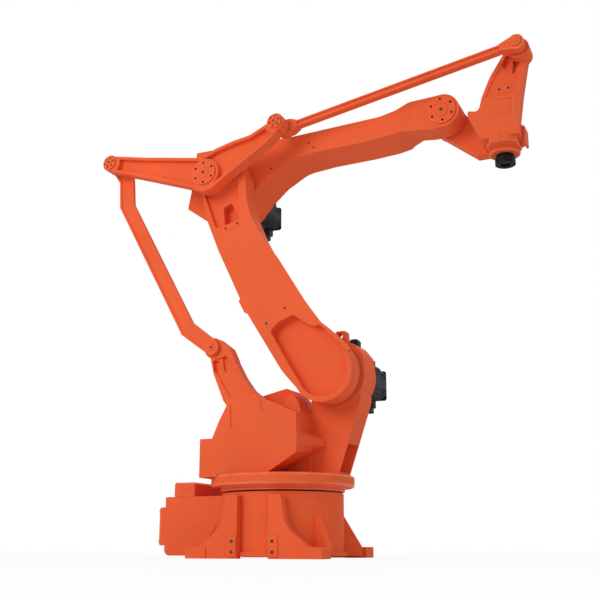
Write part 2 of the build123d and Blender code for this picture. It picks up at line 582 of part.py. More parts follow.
def top_rod_front_eye():
    """Round end block of the top rod beside the wrist."""
    half = TOP_ROD_HEIGHT / 2
    eye = ROD_EYE_RADIUS
    neck = outline((-FRONT_EYE_REACH, -half), (-0.5 * eye, -0.85 * eye), (-0.5 * eye, 0.85 * eye),
                   (-FRONT_EYE_REACH, half))
    place = (WRIST_TOP_PIN, FOREARM_ANGLE)
    body = slab(neck + Circle(eye), ROD_NEAR, TOP_EYE_FAR, *place)
    return body - disc(WRIST_TOP_PIN, LINK_PIN_RADIUS + PIN_GAP, ROD_NEAR + CAP_THICKNESS, TOP_EYE_FAR + 1)


def wrist_top_pin():
    """Pin in the wrist's boss that carries the front eye of the top rod."""
    return disc(WRIST_TOP_PIN, LINK_PIN_RADIUS, ROD_NEAR + CAP_THICKNESS + PIN_GAP, WRIST_BOSS_NEAR)


def forearm():
    """Arched upper arm with a gear hub at the elbow and a narrow end at the wrist."""
    end = FOREARM_LENGTH
    side = outline((-106, -124, 20), (-187, -48, 12), (-158, 26, 20), (-150, 95, 40), (-80, 165, 80),
                   *by_share(end, (0.12, 178, 120), (0.318, 120, 200)),
                   (end - 249, 62, 150), (end - 185, 68, 60),
                   (end - 124, 86, 40), (end, FOREARM_END_RADIUS), (end, -FOREARM_END_RADIUS),
                   (end - 62, -64, 60), (end - 172, -32, 70), (end - 250, -32, 120), (end - 360, -20, 200),
                   *by_share(end, (0.47, 6, 200), (0.335, 17, 150), (0.225, -22, 120), (0.143, -72, 60)),
                   (70, -135, 60), (-60, -135, 60))
    place = (ELBOW, FOREARM_ANGLE)
    solid = slab(side, FOREARM_NEAR, FOREARM_FAR, *place)
    solid += disc(WRIST, FOREARM_END_RADIUS, FOREARM_NEAR, FOREARM_FAR)
    pad = outline(*by_share(end, (0.226, 4, 4), (0.227, -6, 4), (0.334, 24, 60), (0.444, 20, 8),
                         (0.452, 44, 12), (0.43, 68, 12)))
    solid += slab(pad, FOREARM_NEAR - FOREARM_PAD, FOREARM_NEAR, *place)
    near_step = outline((end - 249, FOREARM_NEAR - 1), (end - 124, FOREARM_END_NEAR),
                        (2 * end, FOREARM_END_NEAR), (2 * end, FOREARM_NEAR - 1))
    far_step = outline((end - 190, FOREARM_FAR + 1), (end - 118, FOREARM_END_FAR),
                       (2 * end, FOREARM_END_FAR), (2 * end, FOREARM_FAR + 1))
    solid -= plan_cut(near_step, *place, end)
    solid -= plan_cut(far_step, *place, end)
    bore_floor = LOWER_ARM_FAR + ELBOW_REDUCER_DEPTH + PIN_GAP
    solid -= disc(ELBOW, ELBOW_REDUCER_RADIUS + PIN_GAP, FOREARM_NEAR - 1, bore_floor)
    pin_end = FOREARM_END_NEAR + CAP_THICKNESS
    return solid - disc(WRIST, WRIST_PIN_RADIUS + PIN_GAP, pin_end, FOREARM_END_FAR + 1)


def wrist_pin():
    """Pivot pin in the wrist's ear that turns in the end of the forearm."""
    return disc(WRIST, WRIST_PIN_RADIUS, FOREARM_END_NEAR + CAP_THICKNESS + PIN_GAP, EAR_NEAR)


def housing_plan(half, far):
    """Plan of the wrist's housing: half an octagon on the near side, drawn out to the ear on the far side."""
    cut = half * 0.586
    return outline((half, half - cut), (0.18 * half, far), (-half, far), (-half, cut - half),
                   (cut - half, -half), (half - cut, -half), (half, cut - half))


def wrist_casting():
    """Wrist: ribbed upright near plate, ear on the far side and the housing over the flange."""
    low = FLANGE_HEIGHT + NECK_HEIGHT - FLANGE_DROP
    top = WRIST_HOUSING_TOP
    near = WRIST_PLATE_NEAR
    plate = outline((105, -32, 8), (150, -43, 20), (166, 15, 120), (202, 95, 200), (266, 190, 20), (350, 192),
                    (348, 150), (320, 9, 200), (303, -100), (303, low), (152, low), (128, -105),
                    (109, -62, 8))
    solid = slab(plate, near, WRIST_PLATE_FAR, WRIST)
    solid += disc(WRIST_TOP_PIN, WRIST_BOSS_RADIUS, WRIST_BOSS_NEAR, WRIST_BOSS_NEAR + WRIST_BOSS_WIDTH)
    web = outline((180, 12), (218, 92), (262, 150), (310, 96), (298, 2))
    rear_pocket = outline((270, 176, 4), (290, 166, 4), (285, 146, 4), (260, 118, 4), (252, 138, 4))
    front_pocket = outline((300, 164, 4), (330, 156, 4), (324, 138, 4), (310, 110, 4), (288, 86, 4))
    panel = outline((180, 2), (289, -10), (284, -61, 8), (270, -84, 8), (213, -86, 8))
    for face, depth in ((web, WRIST_WEB_DEPTH), (rear_pocket, WRIST_POCKET), (front_pocket, WRIST_POCKET)):
        solid -= slab(face, near - 1, near + depth, WRIST)
    panel_floor = outline((180, near), (180, near - 1), (300, near - 1), (300, near + WRIST_WEB_DEPTH))
    solid -= slab(panel, near - 1, WRIST_PLATE_FAR, WRIST) & plan_cut(panel_floor, WRIST, 0, FLANGE_DROP)
    toe = FLANGE_REACH - NECK_RADIUS - SIDE_GAP
    lobe = outline((FLANGE_REACH, low), (toe, low), (toe, low - WRIST_EAR_DROP), (104, low - WRIST_EAR_DROP),
                   (-30, -61), (44, 50), (150, top), (FLANGE_REACH, top)) + Circle(WRIST_EAR_RADIUS)
    solid += slab(lobe, EAR_NEAR, EAR_FAR, WRIST)
    plan = housing_plan(WRIST_HOUSING_HALF, EAR_FAR + SIDE_GAP)
    housing = extrude(Pos(FLANGE_X, 0, WRIST[1] + low) * plan, amount=top - low)
    solid += chamfer(housing.faces().sort_by(Axis.Z)[-1].edges(), WRIST_HOUSING_SLOPE)
    cover_spot = Pos(FLANGE_X + WRIST_HOUSING_HALF, 0, WRIST[1] + low - WRIST_COVER_DROP)
    cover = cover_spot * Box(WRIST_COVER_THICKNESS, WRIST_COVER_WIDTH, WRIST_COVER_HEIGHT,
                             align=(Align.MIN, Align.CENTER, Align.MIN))
    return solid + cover


def flange_neck():
    """Round bearing neck under the wrist housing."""
    return Pos(FLANGE_X, 0, FLANGE_Z + FLANGE_HEIGHT) * Cylinder(NECK_RADIUS, NECK_HEIGHT, align=STANDING)


def tool_flange():
    """Stepped tool flange with a pilot bore and a ring of tapped holes in its face."""
    place = Pos(FLANGE_X, 0, FLANGE_Z)
    rim = FLANGE_HEIGHT - FLANGE_SHANK_HEIGHT
    shank = FLANGE_SHANK_HEIGHT - PIN_GAP
    body = place * Cylinder(FLANGE_RADIUS, rim, align=STANDING)
    body += place * Pos(0, 0, rim) * Cylinder(FLANGE_SHANK_RADIUS, shank, align=STANDING)
    body -= place * Cylinder(FLANGE_PILOT_RADIUS, 2 * FLANGE_PILOT_DEPTH)
    for spot in PolarLocations(FLANGE_BOLT_CIRCLE / 2, 4, start_angle=45):
        body -= place * spot * Cylinder(FLANGE_BOLT_RADIUS, 2 * FLANGE_BOLT_DEPTH)
    return body


def motor_adapter(pivot, start):
    """Round flange between a gear housing and its servo motor."""
    return disc(pivot, MOTOR_ADAPTER_RADIUS, start, start + MOTOR_ADAPTER)


def motor_body(pivot, start, length):
    """Square servo motor body with clipped corners."""
    face = chamfer(Rectangle(MOTOR_SIDE, MOTOR_SIDE).vertices(), MOTOR_CORNER)
    near = start + MOTOR_ADAPTER
    return slab(face, near, near + length, pivot)


def motor_cap(pivot, start, length, side):
    """Encoder cap on the end of a servo motor."""
    face = chamfer(Rectangle(side, side).vertices(), MOTOR_CORNER)
    near = start + MOTOR_ADAPTER + length
    return slab(face, near, near + MOTOR_CAP, pivot)


def motor_plug(pivot, start, length, side):
    """Cable socket under the encoder cap of a servo motor."""
    far = start + MOTOR_ADAPTER + length + MOTOR_CAP - MOTOR_PLUG_INSET
    half = MOTOR_PLUG_SIDE / 2
    top = -side / 2
    low = top - MOTOR_PLUG_HEIGHT
    face = outline((-half, top), (-half, low, BOX_CORNER), (half, low, BOX_CORNER), (half, top))
    return slab(face, far - MOTOR_PLUG_SIDE, far, pivot)


def wrist_motor():
    """Short servo motor standing on the wrist housing."""
    face = chamfer(Rectangle(WRIST_MOTOR_SIDE, WRIST_MOTOR_SIDE).vertices(), MOTOR_CORNER)
    place = Pos(FLANGE_X + WRIST_MOTOR_SHIFT, WRIST_MOTOR_SHIFT, WRIST[1] + WRIST_HOUSING_TOP)
    return extrude(place * face, amount=WRIST_MOTOR_HEIGHT)


SHOULDER_MOTOR_AXIS = (SHOULDER[0], SHOULDER[1] + MOTOR_RISE)


def shoulder_motor():
    """Shoulder servo motor with a terminal block on its back and the power socket that stands on it."""
    x, z = SHOULDER_MOTOR_AXIS
    top = z + MOTOR_SIDE / 2
    near = TOWER_FAR + MOTOR_ADAPTER
    block_spot = Pos(x + MOTOR_SIDE / 2 - MOTOR_CORNER, near, top - MOTOR_CORNER)
    block = block_spot * Box(TERMINAL_WIDTH, TERMINAL_LENGTH, MOTOR_CORNER + TERMINAL_HEIGHT,
                             align=(Align.MAX, Align.MIN, Align.MIN))
    socket = Pos(x - SOCKET_SHIFT, near + TERMINAL_LENGTH / 2, top) * Box(
        MOTOR_PLUG_SIDE, MOTOR_PLUG_SIDE, SOCKET_HEIGHT, align=STANDING)
    socket = chamfer(socket.faces().sort_by(Axis.Z)[-1].edges(), MOTOR_CORNER)
    return motor_body(SHOULDER_MOTOR_AXIS, TOWER_FAR, SHOULDER_MOTOR_LENGTH) + block + socket


def parts():
    """Every piece by its node name."""
    shoulder_run = (TOWER_FAR, SHOULDER_MOTOR_LENGTH)
    elbow_run = (FOREARM_FAR, ELBOW_MOTOR_LENGTH)
    return {
        "base_casting": base_casting(),
        "base_rear_housing": base_rear_housing(),
        "base_top_box": base_top_box(),
        "base_connector_plate": base_connector_plate(),
        "slewing_bearing": slewing_bearing(),
        "turntable": turntable(),
        "shoulder_tower": shoulder_tower(),
        "drive_housing": drive_housing(),
        "swing_motor_cover": swing_motor_cover(),
        "link_bracket": link_bracket(),
        "bracket_pin": bracket_pin(),
        "shoulder_reducer": shoulder_reducer(),
        "shoulder_motor_adapter": motor_adapter(SHOULDER_MOTOR_AXIS, TOWER_FAR),
        "shoulder_motor": shoulder_motor(),
        "shoulder_motor_cap": motor_cap(SHOULDER_MOTOR_AXIS, *shoulder_run, SHOULDER_CAP_SIDE),
        "shoulder_motor_plug": motor_plug(SHOULDER_MOTOR_AXIS, *shoulder_run, SHOULDER_CAP_SIDE),
        "lower_arm": lower_arm(),
        "elbow_pin": elbow_pin(),
        "elbow_reducer": elbow_reducer(),
        "link_plate": link_plate(),
        "elbow_cap": cap(ELBOW, ELBOW_CAP_RADIUS, PLATE_NEAR),
        "rear_pin": link_pin(PLATE_REAR_PIN, REAR_ROD_FAR),
        "rear_pin_cap": cap(PLATE_REAR_PIN, END_CAP_RADIUS, PLATE_NEAR),
        "top_pin": link_pin(PLATE_TOP_PIN, TOP_EYE_FAR),
        "top_pin_cap": cap(PLATE_TOP_PIN, END_CAP_RADIUS, PLATE_NEAR),
        "rear_rod": rear_rod(),
        "top_rod": top_rod(),
        "top_rod_rear_eye": top_rod_rear_eye(),
        "top_rod_front_eye": top_rod_front_eye(),
        "top_rod_cap": cap(WRIST_TOP_PIN, ROD_CAP_RADIUS, ROD_NEAR),
        "forearm": forearm(),
        "forearm_end_cap": cap(WRIST, WRIST_CAP_RADIUS, FOREARM_END_NEAR),
        "elbow_motor_adapter": motor_adapter(ELBOW, FOREARM_FAR),
        "elbow_motor": motor_body(ELBOW, *elbow_run),
        "elbow_motor_cap": motor_cap(ELBOW, *elbow_run, ELBOW_CAP_SIDE),
        "elbow_motor_plug": motor_plug(ELBOW, *elbow_run, ELBOW_CAP_SIDE),
        "wrist_casting": wrist_casting(),
        "wrist_pin": wrist_pin(),
        "wrist_top_pin": wrist_top_pin(),
        "wrist_motor": wrist_motor(),
        "flange_neck": flange_neck(),
        "tool_flange": tool_flange(),
    }


os.makedirs("parts", exist_ok=True)
for name, solid in parts().items():
    export_step(solid, f"parts/{name}.step")
    print(f"{name:24} {solid.volume / 1e6:9.3f} litres")
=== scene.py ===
"""Finish, small hardware and studio of a palletising robot arm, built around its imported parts."""
import json
from math import atan2, cos, degrees, radians, sin, tan, tau

import bmesh
import bpy
from mathutils import Matrix, Vector


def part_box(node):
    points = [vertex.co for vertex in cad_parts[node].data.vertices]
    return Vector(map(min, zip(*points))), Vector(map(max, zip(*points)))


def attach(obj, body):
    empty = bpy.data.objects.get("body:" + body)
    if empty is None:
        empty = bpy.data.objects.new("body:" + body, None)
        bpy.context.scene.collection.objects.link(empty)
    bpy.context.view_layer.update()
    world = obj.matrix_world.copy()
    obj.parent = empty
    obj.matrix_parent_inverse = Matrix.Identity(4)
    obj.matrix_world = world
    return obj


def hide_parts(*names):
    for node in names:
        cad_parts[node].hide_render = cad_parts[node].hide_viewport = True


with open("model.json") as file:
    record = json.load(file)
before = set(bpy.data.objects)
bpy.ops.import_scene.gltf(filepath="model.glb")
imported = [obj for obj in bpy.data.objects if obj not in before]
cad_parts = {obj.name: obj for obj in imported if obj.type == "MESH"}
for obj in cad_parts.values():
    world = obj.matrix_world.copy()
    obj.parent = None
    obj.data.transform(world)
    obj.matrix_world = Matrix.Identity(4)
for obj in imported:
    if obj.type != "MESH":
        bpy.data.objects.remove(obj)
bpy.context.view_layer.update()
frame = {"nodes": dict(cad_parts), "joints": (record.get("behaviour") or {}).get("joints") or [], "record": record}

bl_info = {
    "name": "Palletising Arm Looks",
    "version": (1, 0, 0),
    "blender": (4, 5, 0),
    "location": "3D View > Sidebar > Robot Arm",
    "description": "Paints the robot arm, adds its screws, fins and sockets, and sets up the studio",
    "category": "Object",
}

MM = 0.001
NEAR = Vector((0, -1, 0))
X_AXIS, Y_AXIS, Z_AXIS = range(3)
SMALL_PARTS = ("top_rod", "rear_rod", "rear_pin_cap", "top_pin_cap", "elbow_cap", "top_rod_cap",
               "forearm_end_cap")
MOTORS = (("shoulder", "carousel"), ("elbow", "forearm"))

# Raised and sunk forms, in metres; NOSE_BOTTOM in millimetres across from the wrist's pivot
PAD_RISE = 0.003
PAD_EDGE = 0.0014
BOSS_RISE = 0.0032
BOSS_CHAMFER = 0.0012
NOSE_RISE = 0.003
NOSE_BOTTOM = -184
NOSE_HEIGHT = 0.044
NOSE_EDGE = 0.003
WRIST_EAR = 0.044
WRIST_WEB = 0.006
BEAD_RADIUS = 0.0024
BEAD_SINK = 0.0005
POCKET_DEPTH = 0.045
POCKET_WALL = (0.001, POCKET_DEPTH + 0.009)
POCKET_FLOOR = (POCKET_DEPTH + 0.0004, POCKET_DEPTH + 0.008)
POCKET_EDGE = 0.0015
LID_INSET = 0.003
LID_SINK = 0.002
LID_RISE = 0.003
LID_EDGE = 0.0016
CAP_RIM = 0.009
CAP_SLOPE = 0.002
CAP_EDGE = 0.002
FIN_EDGE = 0.001
FIN_START = 0.012
FIN_STOP = 0.006
FIN_MARGIN = 0.03
BAND_DROP = 0.0005
# GAP_MARGIN and GAP_HALF size the sheets of painted shade between the motor fins
GAP_MARGIN = 0.010
GAP_HALF = 0.0006

# Shares of the fins' pitch and of the motor's side
FIN_SHARE = 0.5
BAND_SHARE = 0.17

# Edges and shading
WELD_REACH = 0.00002
FLAT_ANGLE = radians(1)
BEVEL_ANGLE = radians(40)
SHARP_ANGLE = radians(32)
PIECE_SHARP_ANGLE = radians(35)
FACE_WEIGHT = 60

# Studio, in metres; the sensor in millimetres
STAGE_MIDDLE = (0, 0, 1.0)
STAGE_HALF = 30
SENSOR_WIDTH = 36
KEY_PLACE, KEY_SIZE = (-1.6, -4.9, 2.6), 2.4
FILL_PLACE, FILL_SIZE = (4.4, -0.6, 2.2), 3.2
BACK_PLACE, BACK_SIZE = (-0.5, 4.4, 3.2), 3.0
FADE_START, FADE_END, FADE_LEAST = 1.0, 6.0, 0.89

PIVOT = {joint["name"]: Vector(joint["pos_m"]) for joint in frame["joints"]}
SHOULDER = PIVOT["lower_arm_lean"]
ELBOW = PIVOT["link_plate_level"]
WRIST = PIVOT["wrist_level"]
TOP_PIN = PIVOT["top_rod_swing"]
BRACKET_PIN = PIVOT["rear_rod_swing"]
FLANGE = PIVOT["flange_turn"]
REAR_PIN = ELBOW + BRACKET_PIN - SHOULDER
WRIST_TOP_PIN = WRIST + TOP_PIN - ELBOW


def lean_of(start, end):
    """Angle of a link above the +X axis, in degrees."""
    return degrees(atan2(end.z - start.z, end.x - start.x))


LOWER_ARM = (SHOULDER, lean_of(SHOULDER, ELBOW))
FOREARM = (ELBOW, lean_of(ELBOW, WRIST))
LEVEL_WRIST = (WRIST, 0)
GROUND = (Vector((0, 0, 0)), 0)


def on_link(link, along, across, y):
    """Point in metres from millimetres along and across a link, at a place across the robot."""
    pivot, angle = link
    c, s = cos(radians(angle)), sin(radians(angle))
    return Vector((pivot.x + (along * c - across * s) * MM, y, pivot.z + (along * s + across * c) * MM))


class ARM_PG_finish(bpy.types.PropertyGroup):
    """Colours and edges of the arm's surfaces."""
    orange: bpy.props.FloatVectorProperty(
        name="Orange paint", description="Colour of the painted castings", subtype="COLOR", size=3,
        default=(0.89, 0.135, 0.044), min=0, max=1)
    black: bpy.props.FloatVectorProperty(
        name="Motor black", description="Colour of the servo motors", subtype="COLOR", size=3,
        default=(0.020, 0.021, 0.021), min=0, max=1)
    flange: bpy.props.FloatVectorProperty(
        name="Flange black", description="Colour of the tool flange", subtype="COLOR", size=3,
        default=(0.004, 0.004, 0.004), min=0, max=1)
    steel: bpy.props.FloatVectorProperty(
        name="Bare steel", description="Colour of pins, gear units and screws", subtype="COLOR", size=3,
        default=(0.42, 0.42, 0.43), min=0, max=1)
    casting_edge: bpy.props.FloatProperty(
        name="Casting edge", description="Width of the rounded edges of castings",
        subtype="DISTANCE", unit="LENGTH", default=0.004, min=0)
    turned_edge: bpy.props.FloatProperty(
        name="Turned edge", description="Width of the broken edges of machined and small pieces",
        subtype="DISTANCE", unit="LENGTH", default=0.0012, min=0)


class ARM_PG_hardware(bpy.types.PropertyGroup):
    """Sizes of screws, holes and fins."""
    cap_screw: bpy.props.FloatProperty(
        name="Cap screw", description="Radius of the screw heads on the bearing caps",
        subtype="DISTANCE", unit="LENGTH", default=0.0042, min=0)
    motor_screw: bpy.props.FloatProperty(
        name="Motor screw", description="Radius of the screw heads on the servo motors",
        subtype="DISTANCE", unit="LENGTH", default=0.007, min=0)
    frame_screw: bpy.props.FloatProperty(
        name="Frame screw", description="Radius of the screw heads that hold the base and covers",
        subtype="DISTANCE", unit="LENGTH", default=0.008, min=0)
    tapped_hole: bpy.props.FloatProperty(
        name="Tapped hole", description="Radius of the empty fixing holes in the castings",
        subtype="DISTANCE", unit="LENGTH", default=0.0055, min=0)
    centre_hole: bpy.props.FloatProperty(
        name="Centre hole", description="Radius of the jacking hole in a bearing cap",
        subtype="DISTANCE", unit="LENGTH", default=0.0068, min=0)
    cap_sink: bpy.props.FloatProperty(
        name="Cap sink", description="Depth of the sunk cover in a motor's end cap",
        subtype="DISTANCE", unit="LENGTH", default=0.006, min=0)
    cap_lid: bpy.props.FloatProperty(
        name="Cap lid", description="Thickness of the plate that closes a motor's end",
        subtype="DISTANCE", unit="LENGTH", default=0.004, min=0)
    cap_groove: bpy.props.FloatProperty(
        name="Cap groove", description="Depth of the grooves round a motor's end cap",
        subtype="DISTANCE", unit="LENGTH", default=0.006, min=0)
    fin_height: bpy.props.FloatProperty(
        name="Fin height", description="Height of the cooling fins on a motor's body",
        subtype="DISTANCE", unit="LENGTH", default=0.004, min=0)
    motor_side: bpy.props.FloatProperty(
        name="Motor side", description="Width of a motor's square body",
        subtype="DISTANCE", unit="LENGTH", default=0.134, min=0)
    fin_count: bpy.props.IntProperty(
        name="Fins", description="Cooling fins on one side of a motor", default=9, min=1)


class ARM_PG_studio(bpy.types.PropertyGroup):
    """Camera and light."""
    camera: bpy.props.FloatVectorProperty(
        name="Camera", description="Place of the camera", subtype="TRANSLATION", unit="LENGTH", size=3,
        default=(1.6086, -3.4683, 0.0474))
    yaw: bpy.props.FloatProperty(
        name="Yaw", description="Turn of the view from +Y towards -X",
        subtype="ANGLE", unit="ROTATION", default=radians(23.86))
    pitch: bpy.props.FloatProperty(
        name="Pitch", description="Upward tilt of the view",
        subtype="ANGLE", unit="ROTATION", default=radians(14.69))
    lens: bpy.props.FloatProperty(
        name="Lens", description="Focal length in millimetres", default=56.21, min=1)
    key: bpy.props.FloatProperty(
        name="Key light", description="Power of the main softbox", unit="POWER", default=92, min=0)
    fill: bpy.props.FloatProperty(
        name="Fill light", description="Power of the softbox on the right", unit="POWER", default=9, min=0)
    back: bpy.props.FloatProperty(
        name="Back light", description="Power of the softbox behind", unit="POWER", default=24, min=0)
    ambient: bpy.props.FloatProperty(
        name="Ambient", description="Strength of the even light around the object", default=0.52, min=0)


def settings(group):
    """Property group of the scene by its short name."""
    return getattr(bpy.context.scene, "arm_" + group)


class Value:
    """Output socket of a node tree that takes part in arithmetic."""

    def __init__(self, net, socket):
        self.net = net
        self.socket = socket

    def combine(self, operation, first, second):
        """Adds a Math node for two values."""
        return self.net.node("ShaderNodeMath", {"operation": operation}, {0: first, 1: second}).out("Value")

    def __add__(self, other):
        return self.combine("ADD", self, other)

    def __radd__(self, other):
        return self.combine("ADD", other, self)

    def __sub__(self, other):
        return self.combine("SUBTRACT", self, other)

    def __rsub__(self, other):
        return self.combine("SUBTRACT", other, self)

    def __mul__(self, other):
        return self.combine("MULTIPLY", self, other)

    def __rmul__(self, other):
        return self.combine("MULTIPLY", other, self)

    def __gt__(self, other):
        return self.combine("GREATER_THAN", self, other)


class Made:
    """Node that a Net has added, which hands out its outputs."""

    def __init__(self, net, node):
        self.net = net
        self.node = node

    def out(self, name):
        """Output socket by name or place, ready for arithmetic and links."""
        return Value(self.net, self.node.outputs[name])


def set_stops(elements, stops):
    """Gives a colour ramp, which starts with two stops, its (position, grey) stops."""
    elements[0].position, elements[1].position = stops[0][0], stops[-1][0]
    for position, grey in stops[1:-1]:
        elements.new(position)
    for element, (position, grey) in zip(elements, stops):
        element.color = (grey, grey, grey, 1)


# Places of the colour sockets on a Mix node, whose names other data types share
MIX_FIRST, MIX_SECOND, MIX_RESULT = 6, 7, 2


class Net:
    """Adds nodes and links to one node tree."""

    def __init__(self, tree):
        self.tree = tree

    def node(self, kind, choices=None, sockets=None):
        """Adds a node of a type, with its settings, a ramp's stops among them, and its sockets."""
        made = self.tree.nodes.new(kind)
        for name, choice in (choices or {}).items():
            if name == "stops":
                set_stops(made.color_ramp.elements, choice)
            else:
                setattr(made, name, choice)
        self.feed(made, sockets or {})
        return Made(self, made)

    def feed(self, made, sockets):
        """Sets or links a node's input sockets."""
        for name, value in sockets.items():
            socket = made.inputs[name]
            if isinstance(value, Value):
                self.tree.links.new(value.socket, socket)
            else:
                socket.default_value = value

    def ramp(self, factor, *stops):
        """Colour ramp over (position, grey) stops, as a value."""
        return self.node("ShaderNodeValToRGB", {"stops": stops}, {"Fac": factor}).out("Color")

    def noise(self, coords, scale, detail):
        """Noise value over a vector."""
        return self.node("ShaderNodeTexNoise", None, {
            "Vector": coords, "Scale": scale, "Detail": detail}).out("Fac")

    def blend(self, factor, first, second):
        """Colour between two colours."""
        return self.node("ShaderNodeMix", {"data_type": "RGBA"}, {
            "Factor": factor, MIX_FIRST: first, MIX_SECOND: second}).out(MIX_RESULT)


def tint(colour, factor):
    """RGBA of a colour made lighter or darker."""
    return tuple(min(1, channel * factor) for channel in colour) + (1,)


def new_material(name):
    """Empty node material with its net, Object coordinates and the shader that it ends in."""
    material = bpy.data.materials.new("arm_" + name)
    material.use_nodes = True
    material.node_tree.nodes.clear()
    net = Net(material.node_tree)
    coords = net.node("ShaderNodeTexCoord").out("Object")
    shader = net.node("ShaderNodeBsdfPrincipled")
    net.node("ShaderNodeOutputMaterial", None, {"Surface": shader.out("BSDF")})
    return material, net, coords, shader


def wire(net, shader, **sockets):
    """Sets or links the shader's sockets, with spaces for underscores."""
    net.feed(shader.node, {name.replace("_", " "): value for name, value in sockets.items()})


def bump(net, height, strength, distance):
    """Normal from a height value."""
    return net.node("ShaderNodeBump", None, {
        "Height": height, "Strength": strength, "Distance": distance}).out("Normal")


def orange_paint():
    """Satin sprayed paint over castings: faint mottling, orange peel and worn gloss."""
    colour = settings("finish").orange
    material, net, coords, shader = new_material("orange_paint")
    cloud = net.noise(coords, 3.5, 4)
    speck = net.noise(coords, 95, 2)
    peel = net.noise(coords, 420, 2)
    cast = net.noise(coords, 26, 3)
    mottle = net.ramp(cloud, (0.3, 0.0), (0.72, 1.0))
    base = net.blend(mottle, tint(colour, 0.93), tint(colour, 1.07))
    base = net.blend(net.ramp(speck, (0.60, 0.0), (0.78, 0.22)), base, tint(colour, 0.80))
    wire(net, shader, Base_Color=base, Roughness=0.50 + cloud * 0.14 + speck * 0.05,
         Normal=bump(net, peel * 0.35 + cast, 0.16, 0.0012), Specular_IOR_Level=0.06)
    return material


def rubbed_edge():
    """Paint on the castings' rounded edges, paler in patches as a painted highlight, and glossier there."""
    colour = settings("finish").orange
    material, net, coords, shader = new_material("rubbed_edge")
    patches = net.ramp(net.noise(coords, 13, 4), (0.34, 0.15), (0.66, 1.0))
    peel = net.noise(coords, 420, 2)
    # painted highlight: the paler colour stands in for the light that rounded edges catch
    pale = (min(1, colour[0] * 1.04), colour[1] * 1.7, colour[2] * 2.1, 1)
    wire(net, shader, Base_Color=net.blend(patches, tint(colour, 1.0), pale), Roughness=0.46 - patches * 0.10,
         Normal=bump(net, peel, 0.10, 0.0008), Specular_IOR_Level=0.20)
    return material


def motor_black():
    """Fine-textured black paint on aluminium, greyer where handled."""
    colour = settings("finish").black
    material, net, coords, shader = new_material("motor_black")
    grain = net.noise(coords, 520, 2)
    patches = net.noise(coords, 11, 4)
    base = net.blend(net.ramp(patches, (0.42, 0.0), (0.74, 1.0)), tint(colour, 0.85), tint(colour, 1.6))
    wire(net, shader, Base_Color=base, Roughness=0.52 + patches * 0.18,
         Normal=bump(net, grain, 0.22, 0.0006), Specular_IOR_Level=0.16)
    return material


def flange_black():
    """Blackened steel of the tool flange, with turning marks round its axis."""
    colour = settings("finish").flange
    material, net, coords, shader = new_material("flange_black")
    centred = net.node("ShaderNodeMapping", None, {
        "Vector": coords, "Location": (-FLANGE.x, 0, 0)}).out("Vector")
    rings = net.node("ShaderNodeTexWave", {"wave_type": "RINGS", "rings_direction": "Z"}, {
        "Vector": centred, "Scale": 260, "Distortion": 0.4}).out("Fac")
    smear = net.noise(coords, 40, 4)
    base = net.blend(smear, tint(colour, 0.8), tint(colour, 1.9))
    wire(net, shader, Base_Color=base, Roughness=0.42 + smear * 0.16,
         Normal=bump(net, rings, 0.10, 0.0004), Specular_IOR_Level=0.12)
    return material


def bare_steel():
    """Machined steel of pins, gear units and screws, brushed and lightly stained."""
    colour = settings("finish").steel
    material, net, coords, shader = new_material("bare_steel")
    stretched = net.node("ShaderNodeMapping", None, {"Vector": coords, "Scale": (900, 40, 900)}).out("Vector")
    brush = net.noise(stretched, 1, 2)
    stain = net.noise(coords, 34, 4)
    base = net.blend(net.ramp(stain, (0.40, 0.0), (0.80, 1.0)), tint(colour, 1.0), tint(colour, 0.68))
    wire(net, shader, Base_Color=base, Roughness=0.27 + brush * 0.14 + stain * 0.10,
         Normal=bump(net, brush, 0.08, 0.0004), Metallic=1.0)
    return material


def hole_shadow():
    """Painted shadow for the inside of a drilled hole and of the bearing's groove: near-black, mottled at random.
    """
    material, net, coords, shader = new_material("hole_shadow")
    shadow_mottle = net.noise(coords, 300, 2)
    wire(net, shader, Base_Color=net.blend(shadow_mottle, (0.012, 0.006, 0.004, 1), (0.035, 0.013, 0.008, 1)),
         Roughness=0.45 + shadow_mottle * 0.2)
    return material


def socket_plastic():
    """Moulded black plastic of cable sockets."""
    material, net, coords, shader = new_material("socket_plastic")
    grain = net.noise(coords, 800, 2)
    cloud = net.noise(coords, 25, 3)
    wire(net, shader, Base_Color=net.blend(cloud, (0.016, 0.016, 0.017, 1), (0.034, 0.034, 0.035, 1)),
         Roughness=0.48 + cloud * 0.12, Normal=bump(net, grain, 0.15, 0.0004))
    return material


FINISHES = (orange_paint, rubbed_edge, motor_black, flange_black, bare_steel, hole_shadow, socket_plastic)


def finish_of(name):
    """Material by its finish's name."""
    return bpy.data.materials["arm_" + name]


def new_tree(name, **inputs):
    """Geometry tree with named inputs: the tree, its net and the node that brings the inputs in."""
    tree = bpy.data.node_groups.new(name, "GeometryNodeTree")
    for label, kind in inputs.items():
        tree.interface.new_socket(label.replace("_", " "), in_out="INPUT", socket_type="NodeSocket" + kind)
    tree.interface.new_socket("Geometry", in_out="OUTPUT", socket_type="NodeSocketGeometry")
    net = Net(tree)
    return tree, net, net.node("NodeGroupInput")


def close_tree(net, source, placed):
    """Ends a tree of instances: makes them real and paints them."""
    real = net.node("GeometryNodeRealizeInstances", None, {"Geometry": placed.out("Instances")})
    coated = net.node("GeometryNodeSetMaterial", None, {
        "Geometry": real.out("Geometry"), "Material": source.out("Material")})
    net.node("NodeGroupOutput", None, {"Geometry": coated.out("Geometry")})


def soft_edge_tree():
    """Tree that sets which of a part's edges shade sharp."""
    tree, net, source = new_tree("soft_edges", Geometry="Geometry", Sharp_Angle="Float")
    angle = net.node("GeometryNodeInputMeshEdgeAngle").out("Unsigned Angle")
    sharp = angle > source.out("Sharp Angle")
    shaded = net.node("GeometryNodeSetMeshNormal", {"mode": "SHARPNESS"}, {
        "Mesh": source.out("Geometry"), "Remove Custom": True, "Edge Sharpness": sharp,
        "Face Sharpness": False}).out("Mesh")
    net.node("NodeGroupOutput", None, {"Geometry": shaded})
    return tree


